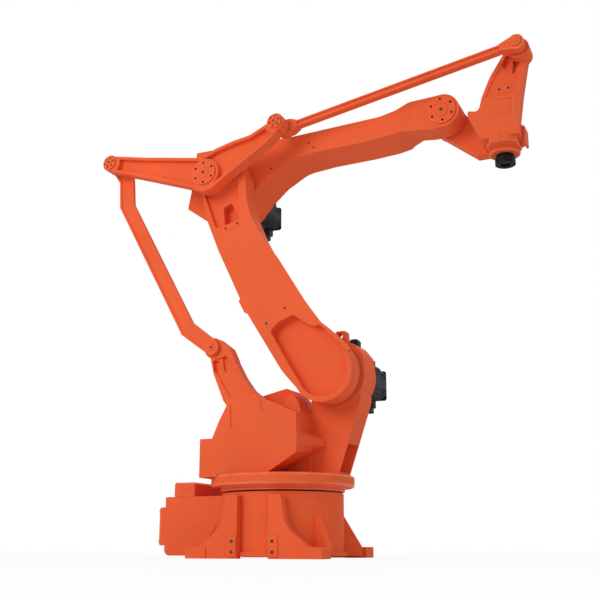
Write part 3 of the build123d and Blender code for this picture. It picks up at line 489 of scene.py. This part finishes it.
def instance_tree(name):
    """Tree that stands a round head on every point, turned to face outwards and sized by the point."""
    tree, net, source = new_tree(name, Points="Geometry", Height="Float", Recess="Float", Sides="Int",
                                 Material="Material")
    facing = net.node("GeometryNodeInputNamedAttribute", {"data_type": "FLOAT_VECTOR"}, {"Name": "facing"})
    size = net.node("GeometryNodeInputNamedAttribute", {"data_type": "FLOAT"}, {"Name": "size"})
    turn = net.node("FunctionNodeAlignRotationToVector", {"axis": "Z"}, {"Vector": facing.out("Attribute")})
    placed = net.node("GeometryNodeInstanceOnPoints", None, {
        "Points": source.out("Points"), "Instance": screw_shape(net, source),
        "Rotation": turn.out("Rotation"), "Scale": size.out("Attribute")})
    close_tree(net, source, placed)
    return tree


def screw_shape(net, source):
    """Round head of unit radius with a chamfer and a sunk socket, standing on its seat."""
    blank = net.node("GeometryNodeMeshCylinder", {"fill_type": "NGON"}, {
        "Vertices": source.out("Sides"), "Radius": 1.0, "Depth": source.out("Height")})
    chamfer, socket_edge = (0.12, 0.90), (0.0, 0.58)
    mesh, top = blank.out("Mesh"), blank.out("Top")
    for rise, shrink in (chamfer, socket_edge):
        grown = net.node("GeometryNodeExtrudeMesh", {"mode": "FACES"}, {
            "Mesh": mesh, "Selection": top, "Offset Scale": rise})
        mesh, top = grown.out("Mesh"), grown.out("Top")
        mesh = net.node("GeometryNodeScaleElements", {"domain": "FACE"}, {
            "Geometry": mesh, "Selection": top, "Scale": shrink}).out("Geometry")
    sunk = net.node("GeometryNodeExtrudeMesh", {"mode": "FACES"}, {
        "Mesh": mesh, "Selection": top, "Offset Scale": source.out("Recess") * -1.0})
    lift = net.node("ShaderNodeCombineXYZ", None, {"Z": source.out("Height") * 0.5})
    return net.node("GeometryNodeTransform", None, {
        "Geometry": sunk.out("Mesh"), "Translation": lift.out("Vector")}).out("Geometry")


def fin_tree():
    """Tree that sets a row of equal fins side by side, centred on the origin."""
    tree, net, source = new_tree("cooling_fins", Geometry="Geometry", Count="Int", Pitch="Float",
                                 Fin="Vector", Material="Material")
    pitch = source.out("Pitch")
    half_row = (source.out("Count") - 1) * pitch * -0.5
    start = net.node("ShaderNodeCombineXYZ", None, {"X": half_row}).out("Vector")
    step = net.node("ShaderNodeCombineXYZ", None, {"X": pitch}).out("Vector")
    row = net.node("GeometryNodeMeshLine", {"mode": "OFFSET"}, {
        "Count": source.out("Count"), "Start Location": start, "Offset": step})
    fin = net.node("GeometryNodeMeshCube", None, {"Size": source.out("Fin")})
    placed = net.node("GeometryNodeInstanceOnPoints", None, {
        "Points": row.out("Mesh"), "Instance": fin.out("Mesh")})
    close_tree(net, source, placed)
    return tree


def tree_inputs(modifier, **values):
    """Sets a Geometry Nodes modifier's inputs by their sockets' identifiers."""
    for item in modifier.node_group.interface.items_tree:
        key = item.name.replace(" ", "_")
        if item.in_out == "INPUT" and key in values:
            modifier[item.identifier] = values[key]


def new_object(name, data):
    """Object of the scene that shows a mesh, curve, light or camera."""
    made = bpy.data.objects.new(name, data)
    bpy.context.scene.collection.objects.link(made)
    return made


def plain_mesh(seed):
    """Final mesh of an object, which is then removed."""
    depsgraph = bpy.context.evaluated_depsgraph_get()
    mesh = bpy.data.meshes.new_from_object(seed.evaluated_get(depsgraph), depsgraph=depsgraph)
    bpy.data.objects.remove(seed)
    return mesh


def grown_mesh(name, mesh, tree, **values):
    """Plain mesh that a tree makes from a mesh."""
    seed = new_object(name + "_seed", mesh)
    modifier = seed.modifiers.new("tree", "NODES")
    modifier.node_group = tree
    tree_inputs(modifier, **values)
    made = plain_mesh(seed)
    made.name = name
    return made


def shade(mesh):
    """Smooth shading with sharp edges where faces turn."""
    mesh.shade_smooth()
    mesh.set_sharp_from_angle(angle=PIECE_SHARP_ANGLE)


def settle(name, mesh, body, finish=None):
    """Finished piece at the origin that rides on a body."""
    if finish:
        mesh.materials.clear()
        mesh.materials.append(finish_of(finish))
    shade(mesh)
    piece = new_object(name, mesh)
    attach(piece, body)
    return piece


def points_mesh(name, spots):
    """Points with the way that each faces and its size."""
    mesh = bpy.data.meshes.new(name)
    mesh.from_pydata([spot for spot, facing, size in spots], [], [])
    mesh.attributes.new("facing", "FLOAT_VECTOR", "POINT")
    mesh.attributes.new("size", "FLOAT", "POINT")
    for index, (spot, facing, size) in enumerate(spots):
        mesh.attributes["facing"].data[index].vector = facing
        mesh.attributes["size"].data[index].value = size
    return mesh


def near_face(node):
    """Place of a node's near face across the robot."""
    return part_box(node)[0].y


def wrist_plate():
    """Place of the wrist's near plate across the robot, behind the ear that stands out from it."""
    return near_face("wrist_casting") + WRIST_EAR


def ring_spots(pin, radius, y, size, start, count=6):
    """Evenly spaced spots on a circle round a pin, facing the near side."""
    return [(on_link((pin, start + 360 * index / count), radius, 0, y), NEAR, size) for index in range(count)]


def corner_spots(node, axis, inset, size, outward):
    """Four spots near the corners of a node's box face that looks along an axis."""
    low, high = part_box(node)
    sides = [index for index in range(3) if index != axis]
    facing = Vector((0, 0, 0))
    facing[axis] = outward
    spots = []
    for first in (low[sides[0]] + inset, high[sides[0]] - inset):
        for second in (low[sides[1]] + inset, high[sides[1]] - inset):
            spot = Vector((0, 0, 0))
            spot[axis] = (high if outward > 0 else low)[axis]
            spot[sides[0]], spot[sides[1]] = first, second
            spots.append((spot, facing, size))
    return spots


def screw_places():
    """Screws by body: where each head sits, the way it faces and its radius."""
    sizes = settings("hardware")
    cap, motor, big = sizes.cap_screw, sizes.motor_screw, sizes.frame_screw
    rings = (("forearm", WRIST, "forearm_end_cap", 46, cap, 94),
             ("link_plate", ELBOW, "elbow_cap", 43, cap, 30),
             ("link_plate", REAR_PIN, "rear_pin_cap", 22, cap * 0.75, 15),
             ("link_plate", TOP_PIN, "top_pin_cap", 22, cap * 0.75, 15))
    covers = (("wrist", "wrist_motor", Z_AXIS, 0.013, motor, 1),
              ("base", "base_top_box", Z_AXIS, 0.014, big * 0.7, 1),
              ("base", "base_connector_plate", X_AXIS, 0.016, big * 0.8, -1))
    places = {body: [] for body in ("forearm", "link_plate", "wrist", "carousel", "base")}
    for body, pin, node, radius, size, start in rings:
        places[body] += ring_spots(pin, radius, near_face(node), size, start)
    for body, node, axis, inset, size, outward in covers:
        places[body] += corner_spots(node, axis, inset, size, outward)
    for prefix, body in MOTORS:
        spots = corner_spots(prefix + "_motor_cap", Y_AXIS, 0.023, motor, 1)
        places[body] += [(spot - facing * sizes.cap_sink, facing, size) for spot, facing, size in spots]
    return places


def hole_places():
    """Empty holes by body: where each lies, the way it faces and its radius."""
    sizes = settings("hardware")
    tapped, centre = sizes.tapped_hole, sizes.centre_hole
    arm = near_face("lower_arm")
    web = wrist_plate() + WRIST_WEB
    faces = (("lower_arm", LOWER_ARM, arm, tapped, ((305, 6), (297, 103))),
             ("lower_arm", LOWER_ARM, arm - PAD_RISE, tapped, ((762, 56), (748, 1))),
             ("forearm", FOREARM, near_face("forearm"), tapped * 0.8, ((236, 2), (424, 58), (441, 31))),
             ("wrist", LEVEL_WRIST, web - PAD_RISE, tapped, ((236, 36), (272, 37))))
    bosses = (("link_plate", ELBOW, "elbow_cap", centre),
              ("link_plate", REAR_PIN, "rear_pin_cap", centre * 0.8),
              ("link_plate", TOP_PIN, "top_pin_cap", centre * 0.8),
              ("rear_rod", BRACKET_PIN, "rear_rod", tapped),
              ("forearm", WRIST, "forearm_end_cap", centre))
    places = {body: [] for body in ("lower_arm", "forearm", "wrist", "link_plate", "rear_rod", "base")}
    for body, link, y, size, spots in faces:
        places[body] += [(on_link(link, u, v, y), NEAR, size) for u, v in spots]
    for body, pin, node, size in bosses:
        places[body].append((Vector((pin.x, near_face(node) - BOSS_RISE, pin.z)), NEAR, size))
    low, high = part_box("base_casting")
    for y, facing in ((low.y, NEAR), (high.y, -NEAR)):
        places["base"] += [(on_link(GROUND, along, height, y), facing, tapped * 1.15)
                           for along in (-84, 84) for height in (24, 63)]
    return places


def prism_mesh(outline, shift):
    """Piece between a flat outline and the same outline moved by a vector."""
    mesh = bpy.data.meshes.new("prism")
    shape = bmesh.new()
    face = shape.faces.new([shape.verts.new(point) for point in outline])
    grown = bmesh.ops.extrude_face_region(shape, geom=[face])
    bmesh.ops.translate(shape, verts=[part for part in grown["geom"] if isinstance(part, bmesh.types.BMVert)],
                        vec=shift)
    bmesh.ops.recalc_face_normals(shape, faces=shape.faces)
    shape.to_mesh(mesh)
    shape.free()
    return mesh


def plate_mesh(corners, link, near, far):
    """Flat piece from corners along and across a link, between two places across the robot."""
    return prism_mesh([on_link(link, u, v, near) for u, v in corners], Vector((0, far - near, 0)))


def bead_mesh(points, radius):
    """Round bead along points."""
    curve = bpy.data.curves.new("bead", "CURVE")
    curve.dimensions = "3D"
    curve.bevel_depth = radius
    curve.bevel_resolution = 3
    curve.use_fill_caps = True
    spline = curve.splines.new("NURBS")
    spline.points.add(len(points) - 1)
    for spot, point in zip(spline.points, points):
        spot.co = (*point, 1)
    spline.order_u = 3
    spline.use_endpoint_u = True
    return plain_mesh(new_object("bead", curve))


def cut_square(low, high, inset, corner=7):
    """Corners in millimetres of a box's outline seen from the front, cut off at 45 degrees."""
    left, right = (low.x + inset) / MM, (high.x - inset) / MM
    bottom, top = (low.z + inset) / MM, (high.z - inset) / MM
    return ((left, bottom + corner), (left, top - corner), (left + corner, top),
            (right - corner, top), (right, top - corner), (right, bottom + corner),
            (right - corner, bottom), (left + corner, bottom))


def slab_mesh(low, high):
    """Box between two corners."""
    mesh = bpy.data.meshes.new("slab")
    shape = bmesh.new()
    size = high - low
    matrix = Matrix.Translation((low + high) / 2) @ Matrix.Diagonal((size.x, size.y, size.z, 1))
    bmesh.ops.create_cube(shape, size=1, matrix=matrix)
    shape.to_mesh(mesh)
    shape.free()
    return mesh


def rounded(corners, radius, steps=5):
    """Corners of a convex outline with each corner rounded off."""
    points = []
    count = len(corners)
    for index in range(count):
        before, here, after = (Vector(corners[(index + shift) % count]) for shift in (-1, 0, 1))
        into, out = (before - here).normalized(), (after - here).normalized()
        half = into.angle(out) / 2
        reach = radius / tan(half)
        start, end = here + into * reach, here + out * reach
        middle = here + (into + out).normalized() * (radius / sin(half))
        for step in range(steps + 1):
            arm = (start - middle).lerp(end - middle, step / steps).normalized() * radius
            points.append(middle + arm)
    return points


def lathe_mesh(profile, place, axis, segments=32):
    """Turned piece from (radius, height) points about an axis at a place."""
    mesh = bpy.data.meshes.new("turned")
    shape = bmesh.new()
    turn = Vector((0, 0, 1)).rotation_difference(Vector(axis)).to_matrix().to_4x4()
    matrix = Matrix.Translation(place) @ turn
    rings = []
    for radius, height in profile:
        ring = [Vector((radius * cos(tau * i / segments), radius * sin(tau * i / segments), height)) * MM
                for i in range(segments)]
        rings.append([shape.verts.new(matrix @ point) for point in ring])
    for low, high in zip(rings, rings[1:]):
        for i in range(segments):
            j = (i + 1) % segments
            shape.faces.new((low[i], low[j], high[j], high[i]))
    shape.faces.new(rings[-1])
    shape.faces.new(list(reversed(rings[0])))
    bmesh.ops.recalc_face_normals(shape, faces=shape.faces)
    shape.to_mesh(mesh)
    shape.free()
    return mesh


def joined(name, meshes):
    """One mesh from several."""
    whole = bmesh.new()
    for mesh in meshes:
        whole.from_mesh(mesh)
        bpy.data.meshes.remove(mesh)
    mesh = bpy.data.meshes.new(name)
    whole.to_mesh(mesh)
    whole.free()
    return mesh


def bevelled(piece, width, segments=2):
    """Adds a rounded edge to a piece."""
    modifier = piece.modifiers.new("edge", "BEVEL")
    modifier.width = width
    modifier.segments = segments
    modifier.limit_method = "ANGLE"
    modifier.angle_limit = BEVEL_ANGLE
    return piece


def highlight_edges(piece):
    """Gives a piece's rounded edges the paler edge paint, a painted highlight."""
    piece.data.materials.append(finish_of("rubbed_edge"))
    piece.modifiers["edge"].material = len(piece.data.materials) - 1


def painted(name, mesh, body, edge=0):
    """Orange piece that rides on a body; an edge width rounds its edges and paints a highlight on them."""
    piece = settle(name, mesh, body, "orange_paint")
    if edge:
        highlight_edges(bevelled(piece, edge))


def scatter(kind, places, slot, finish, **sizes):
    """Stands one kind of round head on the spots of each body."""
    tree = instance_tree(kind)
    for body, spots in places.items():
        name = body + "_" + kind
        mesh = grown_mesh(name, points_mesh(name, spots), tree, Material=finish_of(finish), **sizes)
        settle(name, mesh, body)


class ArmOperator(bpy.types.Operator):
    """Shared traits of the arm's operators."""
    bl_options = {"REGISTER", "UNDO"}


class ARM_OT_finish_parts(ArmOperator):
    """Paint every part of the frame and round its edges"""
    bl_idname = "arm.finish_parts"
    bl_label = "Finish Parts"

    def execute(self, context):
        sizes = settings("finish")
        for make in FINISHES:
            make()
        slots = {part["node"]: part["material_slot"] for part in frame["record"]["subparts"]}
        tree = soft_edge_tree()
        for name, node in frame["nodes"].items():
            slot = slots[name]
            node.data.materials.clear()
            # painted shade: the slewing bearing, down in its groove, takes the near-black hole shadow instead of
            # its slot's finish
            node.data.materials.append(finish_of("hole_shadow" if name == "slewing_bearing" else slot))
            cast = slot == "orange_paint" and name not in SMALL_PARTS
            weld = node.modifiers.new("weld", "WELD")
            weld.merge_threshold = WELD_REACH
            flat = node.modifiers.new("flat_faces", "DECIMATE")
            flat.decimate_type = "DISSOLVE"
            flat.angle_limit = FLAT_ANGLE
            bevelled(node, sizes.casting_edge if cast else sizes.turned_edge, 3 if cast else 2)
            # painted highlight: the orange parts' bevelled edges get the paler edge paint
            if slot == "orange_paint":
                highlight_edges(node)
            smooth = node.modifiers.new("soft_edges", "NODES")
            smooth.node_group = tree
            tree_inputs(smooth, Sharp_Angle=SHARP_ANGLE)
            even = node.modifiers.new("even_faces", "WEIGHTED_NORMAL")
            even.keep_sharp = True
            even.weight = FACE_WEIGHT
        return {"FINISHED"}


class ARM_OT_add_motor_caps(ArmOperator):
    """Replace the motors' end caps by cast ones with a sunk cover"""
    bl_idname = "arm.add_motor_caps"
    bl_label = "Add Motor Caps"

    def execute(self, context):
        sizes = settings("hardware")
        for prefix, body in MOTORS:
            cap = prefix + "_motor_cap"
            low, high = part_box(cap)
            core = plate_mesh(cut_square(low, high, sizes.cap_groove), GROUND, low.y,
                              high.y - sizes.cap_lid / 2)
            lid = plate_mesh(cut_square(low, high, 0), GROUND, high.y - sizes.cap_lid, high.y)
            shape = bmesh.new()
            shape.from_mesh(lid)
            end = max(shape.faces, key=lambda face: face.calc_center_median().y)
            bmesh.ops.inset_region(shape, faces=[end], thickness=CAP_RIM, depth=0)
            bmesh.ops.inset_region(shape, faces=[end], thickness=CAP_SLOPE, depth=-sizes.cap_sink)
            shape.to_mesh(lid)
            shape.free()
            piece = settle(cap + "_casting", joined(cap, (core, lid)), body, "motor_black")
            bevelled(piece, CAP_EDGE)
            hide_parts(cap)
        return {"FINISHED"}


class ARM_OT_add_screws(ArmOperator):
    """Set socket screws in caps, motors and covers"""
    bl_idname = "arm.add_screws"
    bl_label = "Add Screws"

    def execute(self, context):
        scatter("screws", screw_places(), "flange_black", "flange_black", Height=0.5, Recess=0.4, Sides=16)
        return {"FINISHED"}


class ARM_OT_add_holes(ArmOperator):
    """Mark the empty tapped holes of castings and caps with thin near-black discs of painted shadow"""
    bl_idname = "arm.add_holes"
    bl_label = "Add Holes"

    def execute(self, context):
        scatter("holes", hole_places(), "orange_paint", "hole_shadow", Height=0.02, Recess=0.06, Sides=18)
        return {"FINISHED"}


class ARM_OT_add_fins(ArmOperator):
    """Add rows of cooling fins to the servo motors, with dark sheets of painted shade between them"""
    bl_idname = "arm.add_fins"
    bl_label = "Add Motor Fins"

    def execute(self, context):
        sizes = settings("hardware")
        tree = fin_tree()
        for prefix, body in MOTORS:
            motor = prefix + "_motor"
            low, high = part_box(motor + "_cap")
            axis = (low + high) / 2
            cap_side = high.x - low.x - 2 * sizes.cap_groove
            fins, shade_sheets = [], []
            for side, height, start, end, angles in (
                    (sizes.motor_side, sizes.fin_height, near_face(motor) + FIN_START, low.y - FIN_STOP,
                     (90, 180, 270)),
                    (cap_side, sizes.cap_groove, low.y, high.y - sizes.cap_lid, (0, 90, 180, 270))):
                middle = Vector((axis.x, (start + end) / 2, axis.z))
                half = (end - start) / 2
                pitch = (side + 2 * height - FIN_MARGIN) / sizes.fin_count
                for angle in map(radians, angles):
                    outward = Vector((sin(angle), 0, cos(angle)))
                    turned = Matrix.Translation(middle + outward * side / 2) @ Matrix.Rotation(angle, 4, "Y")
                    row = grown_mesh("fin_row", bpy.data.meshes.new("seed"), tree, Count=sizes.fin_count,
                                     Pitch=pitch, Fin=(pitch * FIN_SHARE, 2 * half, 2 * height),
                                     Material=finish_of("motor_black"))
                    band = Vector((BAND_SHARE * side, half, height - BAND_DROP))
                    # painted shade: a thin flange-black sheet under each row darkens the gaps between the fins
                    floor = Vector((side / 2 - GAP_MARGIN, half, GAP_HALF))
                    fins += [row, slab_mesh(-band, band)]
                    shade_sheets.append(slab_mesh(-floor, floor))
                    for mesh in (*fins[-2:], shade_sheets[-1]):
                        mesh.transform(turned)
            piece = settle(motor + "_fins", joined(motor + "_fins", fins), body, "motor_black")
            bevelled(piece, FIN_EDGE)
            settle(motor + "_gaps", joined(motor + "_gaps", shade_sheets), body, "flange_black")
        return {"FINISHED"}


class ARM_OT_add_sockets(ArmOperator):
    """Add the cable sockets of the motors and of the base"""
    bl_idname = "arm.add_sockets"
    bl_label = "Add Sockets"

    def execute(self, context):
        collar = ((13, 0), (17, 0), (17, 5), (15, 6), (15, 13), (16.5, 14), (16.5, 20), (14, 22), (12, 22),
                  (12, 15))
        for prefix, body in MOTORS:
            low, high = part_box(prefix + "_motor_plug")
            place = Vector(((low.x + high.x) / 2, (low.y + high.y) / 2, low.z))
            settle(prefix + "_motor_socket", lathe_mesh(collar, place, (0, 0, -1)), body,
                   "socket_plastic")
        shell = ((21.6, 0), (21.6, 3.6), (17.28, 4.5), (17.28, 8.1), (15.12, 9), (15.12, 3.6), (7.2, 3.6))
        columns, rows, sink = (-0.075, 0, 0.075), (0.030, -0.030), 0.0005
        low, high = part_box("base_connector_plate")
        middle = (low.z + high.z) / 2
        sockets = [lathe_mesh(shell, Vector((low.x + sink, across, middle + rise)), (-1, 0, 0))
                   for across in columns for rise in rows]
        settle("base_sockets", joined("base_sockets", sockets), "base", "socket_plastic")
        return {"FINISHED"}


class ARM_OT_add_pads(ArmOperator):
    """Add the raised pads of the lower arm and the wrist"""
    bl_idname = "arm.add_pads"
    bl_label = "Add Pads"

    def execute(self, context):
        arm, web, nose = near_face("lower_arm"), wrist_plate() + WRIST_WEB, wrist_plate() - NOSE_RISE
        pads = (
            ("slot_pad", "lower_arm", LOWER_ARM, ((779, 64), (757, -13), (737, -9), (749, 69)), 9, arm),
            ("wrist_pad", "wrist", LEVEL_WRIST, ((221, 56), (283, 52), (287, 20), (226, 22)), 12, web),
            ("nose_pad", "wrist", LEVEL_WRIST, ((204, -142), (248, -144), (248, -181), (206, -181)), 5, nose),
        )
        for name, body, link, corners, radius, face in pads:
            mesh = plate_mesh(rounded(corners, radius), link, face - PAD_RISE, face + PAD_RISE)
            painted(name, mesh, body, PAD_EDGE)
        return {"FINISHED"}


class ARM_OT_close_pocket(ArmOperator):
    """Close the front wall and the floor's edge of the lower arm's pocket"""
    bl_idname = "arm.close_pocket"
    bl_label = "Close Pocket"

    def execute(self, context):
        rim = ((20, -120), (60, -115), (110, -99), (158, -83), (168, -70),
               (180, -84), (150, -95), (110, -108.5), (70, -121), (20, -129.5))
        strip = ((20, -98), (60, -94), (110, -80), (156, -64),
                 (166, -76), (150, -93), (110, -107), (70, -119), (20, -127))
        arm = near_face("lower_arm")
        for name, corners, (top, bottom), edge in (("pocket_wall", rim, POCKET_WALL, POCKET_EDGE),
                                                   ("pocket_floor", strip, POCKET_FLOOR, 0)):
            painted(name, plate_mesh(corners, LOWER_ARM, arm + top, arm + bottom), "lower_arm", edge)
        return {"FINISHED"}


class ARM_OT_add_nose(ArmOperator):
    """Add the block, the panel's bead and the boss at the front of the wrist"""
    bl_idname = "arm.add_nose"
    bl_label = "Add Nose"

    def execute(self, context):
        plate = wrist_plate()
        nose = plate - NOSE_RISE
        front = nose / MM
        plan = ((168, -60), (188, front), (260, front), (290, -80),
                (290, 20), (264, 44), (186, 44), (168, 20))
        block = prism_mesh([on_link(LEVEL_WRIST, u, NOSE_BOTTOM, y * MM) for u, y in plan],
                           Vector((0, 0, NOSE_HEIGHT)))
        painted("nose_block", block, "wrist", NOSE_EDGE)
        border = ((286, 0), (290, -10), (288, -34), (285, -64),
                  (279, -84), (262, -88), (241, -88), (216, -88))
        bead = bead_mesh([on_link(LEVEL_WRIST, u, v, plate + BEAD_SINK) for u, v in border], BEAD_RADIUS)
        # painted highlight: the bead carries the paler edge paint
        settle("panel_bead", bead, "wrist", "rubbed_edge")
        button = ((11, -1), (11, 2), (9.5, 3.5), (5.5, 3.5), (5.5, 1), (2, 1))
        spot = on_link(LEVEL_WRIST, 226, -160, nose - PAD_RISE)
        painted("nose_boss", lathe_mesh(button, spot, NEAR), "wrist")
        return {"FINISHED"}


class ARM_OT_add_box_lid(ArmOperator):
    """Add the lid of the junction box on the base"""
    bl_idname = "arm.add_box_lid"
    bl_label = "Add Box Lid"

    def execute(self, context):
        low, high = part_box("base_top_box")
        inset = Vector((LID_INSET, LID_INSET, 0))
        lid = slab_mesh(Vector((low.x, low.y, high.z - LID_SINK)) + inset,
                        Vector((high.x, high.y, high.z + LID_RISE)) - inset)
        painted("box_lid", lid, "base", LID_EDGE)
        return {"FINISHED"}


class ARM_OT_add_cap_bosses(ArmOperator):
    """Add the raised middles of the bearing caps"""
    bl_idname = "arm.add_cap_bosses"
    bl_label = "Add Cap Bosses"

    def execute(self, context):
        caps = (("link_plate", ELBOW, "elbow_cap", 25), ("link_plate", REAR_PIN, "rear_pin_cap", 15),
                ("link_plate", TOP_PIN, "top_pin_cap", 15), ("forearm", WRIST, "forearm_end_cap", 28),
                ("top_rod", WRIST_TOP_PIN, "top_rod_cap", 12), ("rear_rod", BRACKET_PIN, "rear_rod", 13))
        rise, chamfer = BOSS_RISE / MM, BOSS_CHAMFER / MM
        for body, pin, cap, radius in caps:
            profile = ((radius, -1), (radius, rise - chamfer), (radius - chamfer, rise), (2, rise))
            spot = Vector((pin.x, near_face(cap), pin.z))
            painted(cap + "_boss", lathe_mesh(profile, spot, NEAR, 40), body)
        return {"FINISHED"}


def soft_light(name, place, size, power):
    """Square softbox that looks at the middle of the stage."""
    light = bpy.data.lights.new(name, "AREA")
    light.shape = "SQUARE"
    light.size = size
    light.energy = power
    lamp = new_object(name, light)
    lamp.location = place
    lamp.rotation_euler = (Vector(STAGE_MIDDLE) - Vector(place)).to_track_quat("-Z", "Y").to_euler()


def studio_world(ambient):
    """Even white surroundings, pure white where the camera, gloss or glass sees them."""
    world = bpy.data.worlds.new("studio")
    world.use_nodes = True
    world.node_tree.nodes.clear()
    net = Net(world.node_tree)
    path = net.node("ShaderNodeLightPath")
    seen = path.out("Is Camera Ray") + path.out("Is Glossy Ray") + path.out("Is Transmission Ray")
    seen.socket.node.use_clamp = True
    background = net.node("ShaderNodeBackground", None, {
        "Color": (1, 1, 1, 1), "Strength": ambient + seen * (1 - ambient)})
    net.node("ShaderNodeOutputWorld", None, {"Surface": background.out("Background")})
    return world


def pale_floor():
    """Pale studio floor that fades to white and keeps the shadow."""
    material, net, coords, shader = new_material("pale_floor")
    scuff = net.noise(coords, 2.5, 3)
    wire(net, shader, Base_Color=net.blend(scuff, (0.90, 0.90, 0.90, 1), (0.94, 0.94, 0.94, 1)),
         Roughness=0.6)
    path = net.node("ShaderNodeLightPath").out("Is Camera Ray")
    reach = net.node("ShaderNodeVectorMath", {"operation": "LENGTH"}, {0: coords}).out("Value")
    fade = net.node("ShaderNodeMapRange", None, {
        "Value": reach, "From Min": FADE_START, "From Max": FADE_END, "To Min": FADE_LEAST,
        "To Max": 1.0}).out("Result")
    glow = net.node("ShaderNodeEmission", None, {"Color": (1, 1, 1, 1), "Strength": 1.0})
    mixed = net.node("ShaderNodeMixShader", None, {
        0: path * fade, 1: shader.out("BSDF"), 2: glow.out("Emission")})
    net.feed(net.tree.nodes["Material Output"], {"Surface": mixed.out("Shader")})
    return material


class ARM_OT_set_stage(ArmOperator):
    """Set the camera, the lights and the floor"""
    bl_idname = "arm.set_stage"
    bl_label = "Set Stage"

    def execute(self, context):
        studio = settings("studio")
        scene = context.scene
        data = bpy.data.cameras.new("camera")
        data.sensor_width = SENSOR_WIDTH
        data.lens = studio.lens
        camera = new_object("camera", data)
        camera.location = studio.camera
        look = Vector((-sin(studio.yaw) * cos(studio.pitch), cos(studio.yaw) * cos(studio.pitch),
                       sin(studio.pitch)))
        camera.rotation_euler = look.to_track_quat("-Z", "Y").to_euler()
        scene.camera = camera
        soft_light("key", KEY_PLACE, KEY_SIZE, studio.key)
        soft_light("fill", FILL_PLACE, FILL_SIZE, studio.fill)
        soft_light("back", BACK_PLACE, BACK_SIZE, studio.back)
        scene.world = studio_world(studio.ambient)
        half = STAGE_HALF
        floor = bpy.data.meshes.new("floor")
        floor.from_pydata([(-half, -half, 0), (half, -half, 0), (half, half, 0), (-half, half, 0)], [],
                          [(0, 1, 2, 3)])
        floor.materials.append(pale_floor())
        stage = new_object("floor", floor)
        scene.view_settings.view_transform = "Standard"
        return {"FINISHED"}


class ARM_PT_panel(bpy.types.Panel):
    """Sidebar panel with the arm's settings and steps"""
    bl_label = "Robot Arm"
    bl_idname = "ARM_PT_panel"
    bl_space_type = "VIEW_3D"
    bl_region_type = "UI"
    bl_category = "Robot Arm"

    def draw(self, context):
        layout = self.layout
        for group in (settings("finish"), settings("hardware"), settings("studio")):
            box = layout.box()
            for name in group.__annotations__:
                box.prop(group, name)
        for operator in STEPS:
            layout.operator(operator.bl_idname)


STEPS = (ARM_OT_finish_parts, ARM_OT_add_pads, ARM_OT_close_pocket, ARM_OT_add_nose, ARM_OT_add_box_lid,
         ARM_OT_add_cap_bosses, ARM_OT_add_motor_caps, ARM_OT_add_screws, ARM_OT_add_holes, ARM_OT_add_fins,
         ARM_OT_add_sockets, ARM_OT_set_stage)
GROUPS = {"finish": ARM_PG_finish, "hardware": ARM_PG_hardware, "studio": ARM_PG_studio}
CLASSES = (*GROUPS.values(), *STEPS, ARM_PT_panel)


def register():
    for cls in CLASSES:
        bpy.utils.register_class(cls)
    for name, group in GROUPS.items():
        setattr(bpy.types.Scene, "arm_" + name, bpy.props.PointerProperty(type=group))


def unregister():
    for name in GROUPS:
        delattr(bpy.types.Scene, "arm_" + name)
    for cls in reversed(CLASSES):
        bpy.utils.unregister_class(cls)


def main():
    register()
    for step in STEPS:
        group, name = step.bl_idname.split(".")
        getattr(getattr(bpy.ops, group), name)()


if __name__ == "__main__":
    main()
